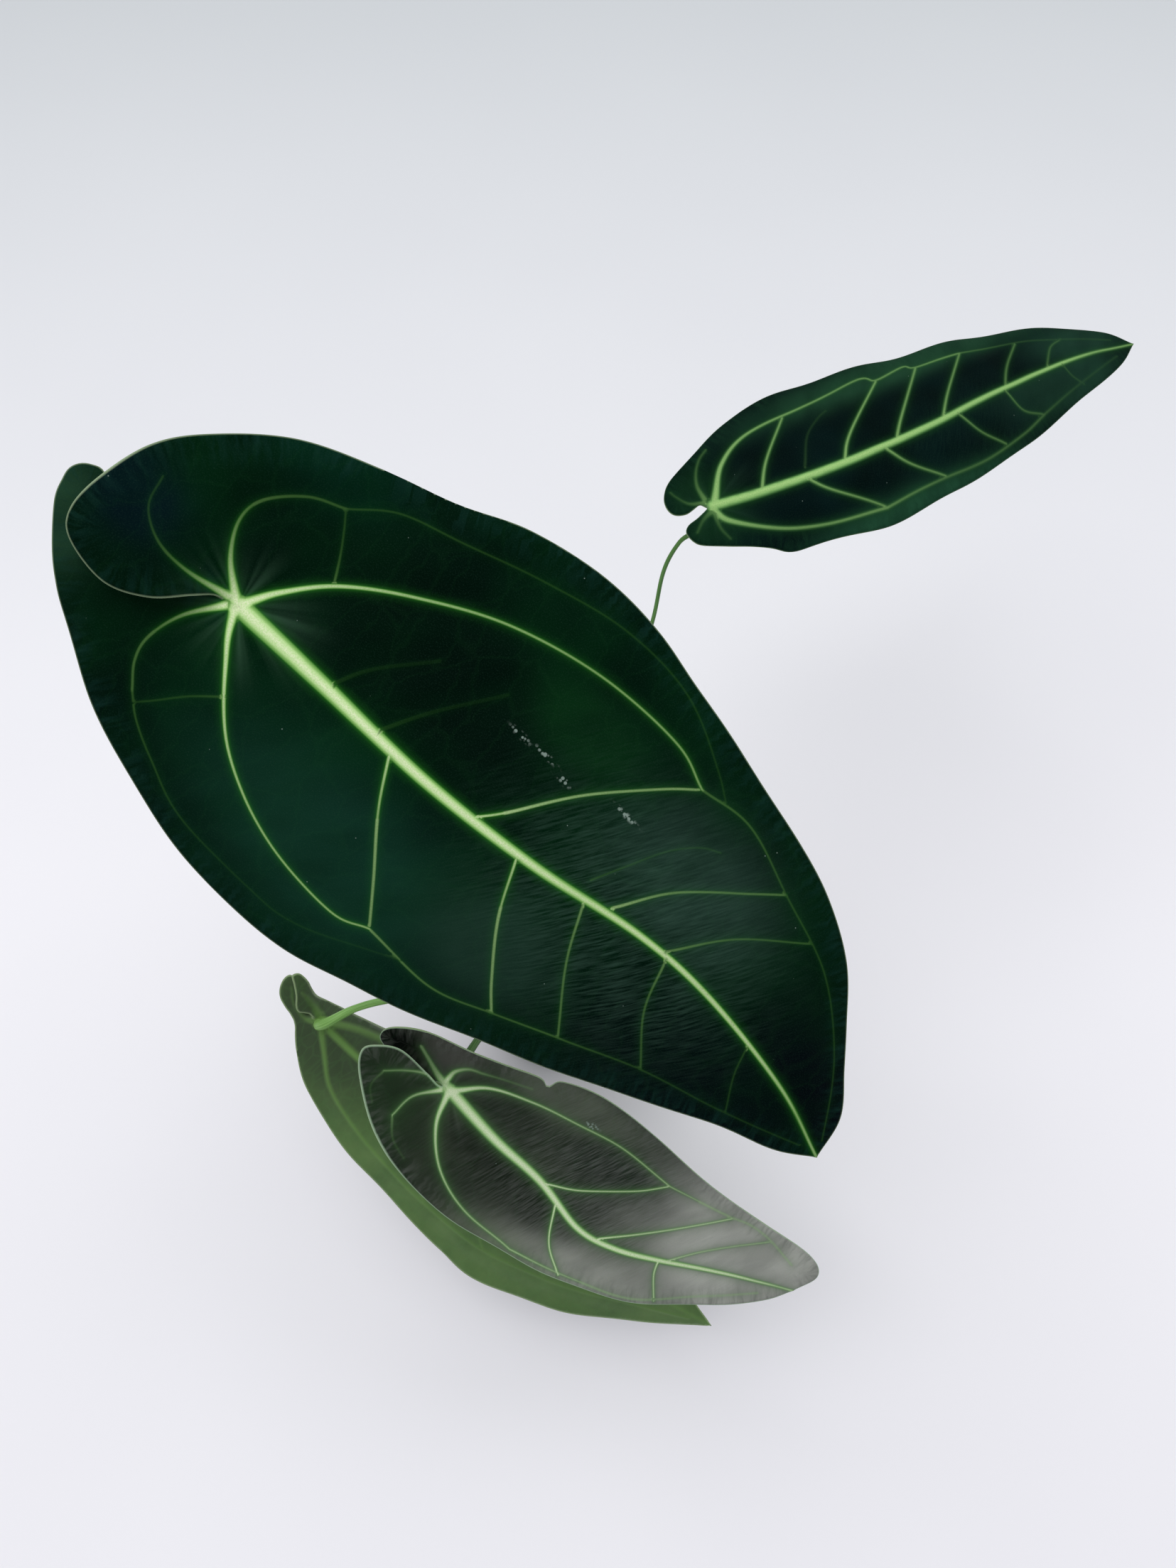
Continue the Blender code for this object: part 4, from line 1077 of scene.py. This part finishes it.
def strips(rows, width, ring=False):
    """Faces between rows of vertices. In a ring the last column is joined to the first."""
    return [(row * width + column, row * width + (column + 1) % width,
             (row + 1) * width + (column + 1) % width, (row + 1) * width + column)
            for row in range(rows - 1) for column in range(width if ring else width - 1)]


def settle(piece):
    """Turns a piece's modifiers into its mesh."""
    graph = bpy.context.evaluated_depsgraph_get()
    mesh = bpy.data.meshes.new_from_object(piece.evaluated_get(graph),
                                           preserve_all_data_layers=True, depsgraph=graph)
    piece.modifiers.clear()
    piece.data = mesh


def thicken(piece, thickness, **settings):
    """Gives a sheet its thickness in millimetres."""
    solid = piece.modifiers.new("thickness", "SOLIDIFY")
    solid.thickness = thickness * MM
    for name, value in settings.items():
        setattr(solid, name, value)
    settle(piece)


def take_place(piece, node):
    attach(piece, "root")
    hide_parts(node)


def on_circle(radius, bearing, height):
    angle = math.radians(bearing)
    return Vector((radius * math.cos(angle), radius * math.sin(angle), height))


def stalk_path(leaf):
    """Places down the middle of a leaf stalk, from its socket in the stem to the blade, and the
    stalk's radius at each."""
    junction, _, _, raised = leaf_axes(leaf)
    foot = on_circle(SOCKET_CIRCLE, leaf["socket_bearing"], STEM_TOP - SOCKET_DEPTH + GAP) * MM
    collar = foot + Vector((0, 0, SOCKET_DEPTH + COLLAR_HEIGHT)) * MM
    under = junction - raised * ((RIDGE_THICKNESS + GAP) * MM)
    bends = [Vector(point) * MM for point in leaf["bend"]]
    neck = under - raised * (NECK_DROP * MM) - (under - bends[-1]).normalized() * (NECK_BACK * MM)
    stops = [foot, collar, *bends, neck, under]
    radii = [PETIOLE_FOOT_RADIUS] * 2 + [leaf["petiole_radius"]] * len(bends)
    radii += [leaf["neck_radius"], leaf["neck_radius"] * NECK_TAPER]
    curve = bpy.data.curves.new("stalk", "CURVE")
    curve.dimensions = "3D"
    curve.resolution_u = STALK_STEPS
    spline = curve.splines.new("BEZIER")
    spline.bezier_points.add(len(stops) - 1)
    for point, stop in zip(spline.bezier_points, stops):
        point.co = stop
        point.handle_left_type = point.handle_right_type = "AUTO"
    # the stalk leaves its socket upright and meets the blade square on
    upright = Vector((0, 0, SOCKET_DEPTH * MM / 2))
    for number, before, after in ((0, upright, upright), (1, upright, upright),
                                  (-1, raised * (NECK_DROP * MM / 2), raised * MM)):
        point = spline.bezier_points[number]
        point.handle_left_type = point.handle_right_type = "FREE"
        point.handle_left = point.co - before
        point.handle_right = point.co + after
    carrier = add_piece("stalk", curve)
    graph = bpy.context.evaluated_depsgraph_get()
    mesh = bpy.data.meshes.new_from_object(carrier.evaluated_get(graph))
    path = [vertex.co.copy() for vertex in mesh.vertices]
    bpy.data.objects.remove(carrier, do_unlink=True)
    knots = np.arange(len(stops)) * STALK_STEPS
    return path, np.interp(np.arange(len(path)), knots, radii)


def stalk(leaf_name, material):
    """A leaf stalk: a faintly ribbed and grooved round bar along its path, which carries how far
    up and round each vertex is."""
    path, radii = stalk_path(LEAVES[leaf_name])
    heading = (path[1] - path[0]).normalized()
    side = heading.orthogonal().normalized()
    vertices, marks = [], []
    run = 0.0
    for number, (centre, radius) in enumerate(zip(path, radii)):
        radius *= (1 + WAVER * noise.noise(centre / (WAVER_LENGTH * MM))) * MM
        before, after = path[max(number - 1, 0)], path[min(number + 1, len(path) - 1)]
        turn = heading.rotation_difference((after - before).normalized())
        heading = (after - before).normalized()
        side.rotate(turn)
        over = heading.cross(side)
        run += (centre - before).length
        for corner in range(STALK_SIDES):
            angle = 2 * math.pi * corner / STALK_SIDES
            ribbed = radius * (1 + RIB_HEIGHT * math.cos(RIB_COUNT * angle)
                               - GROOVE_DEPTH * math.cos(angle) ** GROOVE_SHARPNESS)
            vertices.append(centre + (side * math.cos(angle) + over * math.sin(angle)) * ribbed)
            marks.append((math.cos(angle) * MM, math.sin(angle) * MM, run))
    faces = strips(len(path), STALK_SIDES, ring=True)
    faces.append(tuple(range(STALK_SIDES))[::-1])
    faces.append(tuple(range(len(vertices) - STALK_SIDES, len(vertices))))
    risen = np.repeat(np.linspace(0, 1, len(path)), STALK_SIDES)
    return meshed_piece(leaf_name + "_stalk", vertices, faces,
                        {"place": marks, "risen": risen}, [material])


def turned_shell(name, profile, steps, materials, shift=None):
    """A closed piece turned round the upright axis from a list of (radius, height), which starts
    and ends on the axis."""
    bm = bmesh.new()
    rings = []
    for radius, height in profile:
        if radius == 0:
            rings.append([bm.verts.new((0, 0, height * MM))] * steps)
        else:
            rings.append([bm.verts.new(on_circle(radius, 360 * step / steps, height) * MM)
                          for step in range(steps)])
    for lower, upper in zip(rings, rings[1:]):
        for step in range(steps):
            corners = [lower[step], lower[(step + 1) % steps], upper[(step + 1) % steps],
                       upper[step]]
            bm.faces.new(list(dict.fromkeys(corners)))
    if shift:
        for vertex in bm.verts:
            vertex.co = shift(vertex.co)
    bmesh.ops.recalc_face_normals(bm, faces=bm.faces)
    mesh = mesh_of(bm, name)
    mesh.shade_smooth()
    return add_piece(name, mesh, materials)


def rounded(corners, steps=4):
    """A profile whose inner corners are rounded: each corner is (radius, height, rounding)."""
    profile = [corners[0][:2]]
    for before, corner, after in zip(corners, corners[1:], corners[2:]):
        spot, size = Vector(corner[:2]), corner[2]
        first = spot + (Vector(before[:2]) - spot).normalized() * size
        last = spot + (Vector(after[:2]) - spot).normalized() * size
        for step in range(steps + 1):
            share = step / steps
            place = first * (1 - share) ** 2 + spot * 2 * share * (1 - share) + last * share ** 2
            profile.append(tuple(place))
    profile.append(corners[-1][:2])
    return profile


def pot(material):
    """Thin moulded pot with a rim band, two stacking rings and drain holes in its foot."""
    side_top = POT_HEIGHT - RIM_HEIGHT
    flare = POT_RIM_RADIUS - RIM_STEP - POT_FOOT_RADIUS
    inner_top = POT_RIM_RADIUS - RIM_STEP - POT_WALL

    def wall(height, proud=0.0):
        return (POT_FOOT_RADIUS + flare * height / POT_HEIGHT + proud, height, 0.3)

    # down the inside, over the rim, down the outside and under the foot
    corners = [(0, FLOOR_THICKNESS, 0), (POT_FOOT_RADIUS - POT_WALL, FLOOR_THICKNESS, 1.0),
               (inner_top, POT_HEIGHT - 0.4, 0.3), (inner_top + 0.8, POT_HEIGHT, 0.5),
               (POT_RIM_RADIUS, POT_HEIGHT, 1.0), (POT_RIM_RADIUS - 0.5, side_top, 0.5),
               (wall(side_top)[0], side_top, 0.5)]
    for ring in RING_HEIGHTS:
        corners += [wall(ring + 0.7), wall(ring + 0.5, RING_PROUD), wall(ring - 0.5, RING_PROUD),
                    wall(ring - 0.7)]
    corners += [wall(FOOT_STEP + 1), wall(FOOT_STEP, -RING_PROUD),
                (POT_FOOT_RADIUS - 0.2, 1.2, 0.8), (POT_FOOT_RADIUS - 2, 0, 1.0),
                (POT_FOOT_RADIUS - 5, 0, 0.8), (POT_FOOT_RADIUS - 6, 0.8, 0.5), (0, 0.8, 0)]
    piece = turned_shell("pot_moulded", rounded(corners), POT_STEPS, [material])
    for hole in range(DRAIN_COUNT):
        bm = bmesh.new()
        bmesh.ops.create_cone(bm, cap_ends=True, segments=DRAIN_SIDES,
                              radius1=DRAIN_RADIUS * MM, radius2=DRAIN_RADIUS * MM,
                              depth=4 * FLOOR_THICKNESS * MM)
        cutter = add_piece("drain", mesh_of(bm, "drain"))
        cutter.location = on_circle(DRAIN_CIRCLE, 360 * hole / DRAIN_COUNT, 0) * MM
        cut = piece.modifiers.new("drain", "BOOLEAN")
        cut.operation = "DIFFERENCE"
        cut.object = cutter
        settle(piece)
        bpy.data.objects.remove(cutter, do_unlink=True)
    piece.data.set_sharp_from_angle(angle=math.radians(SHARP_ANGLE))
    return piece


def mix_height(x, y):
    """Height of the loose mix above its level, millimetres."""
    return sum(height * noise.noise(Vector((x, y, layer)) / size)
               for height, size, layer in MIX_LUMPS)


def potting_mix(materials):
    """Loose chunky mix: dark crumbs, bark chips and white grains that lie on one another."""
    def lumpy(place):
        if place.z < (MIX_TOP - MIX_LOOSE) * MM:
            return place
        return place + Vector((0, 0, mix_height(place.x / MM, place.y / MM) * MM))

    profile = [(MIX_RADIUS * ring / MIX_RINGS, MIX_TOP) for ring in range(MIX_RINGS + 1)]
    profile += [(MIX_FOOT_RADIUS, MIX_FOOT), (0, MIX_FOOT)]
    crumbs = turned_shell("crumbs", profile, MIX_STEPS, [], lumpy)
    vertices = [vertex.co.copy() for vertex in crumbs.data.vertices]
    faces = [tuple(face.vertices) for face in crumbs.data.polygons]
    slots, tones = [0] * len(faces), [0.5] * len(vertices)
    bpy.data.objects.remove(crumbs, do_unlink=True)
    chooser = random.Random(CHIP_SEED)
    for count, low, high, shape, slot in CHIPS:
        for _ in range(count):
            size = chooser.uniform(low, high)
            reach = math.sqrt(chooser.uniform((STEM_RADIUS + size) ** 2,
                                              (MIX_RADIUS - size) ** 2))
            spot = on_circle(reach, chooser.uniform(0, 360), MIX_TOP)
            spot.z += mix_height(spot.x, spot.y) + size * chooser.uniform(0.0, CHIP_RAISE)
            lie = Matrix.Rotation(chooser.uniform(0, 2 * math.pi), 3, "Z")
            lie @= Matrix.Rotation(chooser.gauss(0, CHIP_TILT), 3, "X")
            lie @= Matrix.Rotation(chooser.gauss(0, CHIP_TILT), 3, "Y")
            bm = bmesh.new()
            for _ in range(CHIP_CORNERS):
                way = Vector([chooser.gauss(0, 1) for _ in range(3)]).normalized()
                way = Vector([part * stretch for part, stretch in zip(way, shape)])
                bm.verts.new((spot + lie @ way * size) * MM)
            bmesh.ops.convex_hull(bm, input=bm.verts)
            bm.verts.index_update()
            start = len(vertices)
            vertices += [corner.co.copy() for corner in bm.verts]
            tones += [chooser.random()] * len(bm.verts)
            faces += [[start + corner.index for corner in face.verts] for face in bm.faces]
            slots += [slot] * len(bm.faces)
            bm.free()
    piece = meshed_piece("bark_mix", vertices, faces, {"tone": tones}, materials, smooth=False)
    piece.data.polygons.foreach_set("material_index", slots)
    return piece


def stem(bark):
    """Short stem ringed by the scars of old leaves, with a rounded top."""
    profile = [(0, STEM_FOOT)]
    for height in np.arange(STEM_FOOT, STEM_TOP - STEM_SHOULDER, STEM_RING):
        below_scar = (STEM_TOP - SCAR_FIRST - height) % SCAR_PITCH
        groove = max(0, 1 - abs(below_scar - SCAR_WIDTH / 2) / (SCAR_WIDTH / 2))
        profile.append((STEM_RADIUS - SCAR_DEPTH * math.sin(math.pi / 2 * groove), height))
    profile += [(STEM_RADIUS - 0.4, STEM_TOP - 1), (STEM_RADIUS - 1.4, STEM_TOP - 0.3),
                (STEM_RADIUS - 3, STEM_TOP), (4, STEM_TOP + 0.4), (0, STEM_TOP + 0.5)]

    def rough(place):
        swell = 1 + sum(height * noise.noise(place / (size * MM)) for height, size in STEM_LUMPS)
        return Vector((place.x * swell, place.y * swell, place.z))

    return turned_shell("stem_scarred", profile, STEM_STEPS, [bark], rough)


def scale_leaf(bearing, material):
    """Papery scale leaf: dry, thin, ribbed lengthwise and rippled towards its tip."""
    vertices, marks = [], []
    for up in np.linspace(0, 1, SCALE_ROWS):
        for side in np.linspace(-1, 1, SCALE_COLUMNS):
            turn = side * SCALE_HALF_ANGLE * (1 - SCALE_NARROWING * up ** 2)
            radius = SCALE_ROOT_RADIUS + SCALE_SPRING + SCALE_LEAN * up ** 1.5
            radius += SCALE_RIB * math.sin(SCALE_RIBS * side + up)
            radius -= SCALE_CURL * side ** 2 * up
            place = Vector((side * SCALE_RIPPLES[0], up * SCALE_RIPPLES[1], bearing))
            radius += SCALE_RIPPLE * noise.noise(place) * up
            height = SCALE_FOOT + SCALE_LENGTH * up
            vertices.append(on_circle(radius, bearing + turn, height) * MM)
            marks.append((side * SCALE_HALF_WIDTH * MM, up * SCALE_LENGTH * MM, bearing * MM))
    piece = meshed_piece("scale_leaf_%d" % bearing, vertices, strips(SCALE_ROWS, SCALE_COLUMNS),
                         {"place": marks}, [material])
    thicken(piece, SCALE_THICKNESS, offset=0)
    return piece


def floor_and_light():
    """A plain pale floor, a wide soft light over the plant and pale light from all round."""
    bm = bmesh.new()
    bmesh.ops.create_grid(bm, x_segments=1, y_segments=1, size=FLOOR_SIZE)
    floor = add_piece("floor", mesh_of(bm, "floor"), [floor_material()])
    for name, place, size, power in LAMPS:
        light = bpy.data.lights.new(name, "AREA")
        light.shape = "DISK"
        light.size = size
        light.energy = power
        lamp = add_piece(name, light)
        lamp.location = place
        aim = Vector(LAMP_AIM) - Vector(place)
        lamp.rotation_euler = aim.to_track_quat("-Z", "Y").to_euler()
    world = bpy.data.worlds.new("pale room")
    world.use_nodes = True
    fill_sockets(world.node_tree, world.node_tree.nodes["Background"],
                 {"Color": "#f4f5fa", "Strength": ROOM_LIGHT})
    bpy.context.scene.world = world
    bpy.context.scene.view_settings.view_transform = "Standard"


def camera():
    lens = bpy.data.cameras.new("camera")
    lens.lens = CAMERA_LENS
    lens.sensor_width = CAMERA_SENSOR
    viewer = add_piece("camera", lens)
    viewer.location = CAMERA_PLACE
    viewer.rotation_euler = (math.radians(CAMERA_TILT), 0, 0)
    bpy.context.scene.camera = viewer


floor_and_light()
camera()
underside = underside_material()
for leaf_name in LEAVES:
    velvet = velvet_material(LOOKS[leaf_name])
    take_place(blade(leaf_name, [velvet, underside, underside]), leaf_name + "_blade")
for leaf_name, tones in STALK_TONES.items():
    skin = stalk_material("satin green stalk of the %s leaf" % leaf_name, *tones)
    take_place(stalk(leaf_name, skin), leaf_name + "_petiole")

dry_fibre = fibre_material("dry papery scale", "#4a3a26", "#9a8260")
stem_skin = fibre_material("corky stem skin", "#3c3a24", "#6b6a42")
take_place(stem(stem_skin), "stem")
for bearing in SCALE_BEARINGS:
    take_place(scale_leaf(bearing, dry_fibre), "stem")

mix = [crumb_material("dark crumbled mix", "#1b130c", "#3a2a1c", 1.5, 0.95),
       crumb_material("broken pine bark", "#3a2415", "#8a6242", 2.0, 0.9),
       crumb_material("expanded perlite", "#b9b6ac", "#f2f0e8", 0.8, 0.9)]
take_place(potting_mix(mix), "potting_mix")
take_place(pot(pot_material()), "pot")
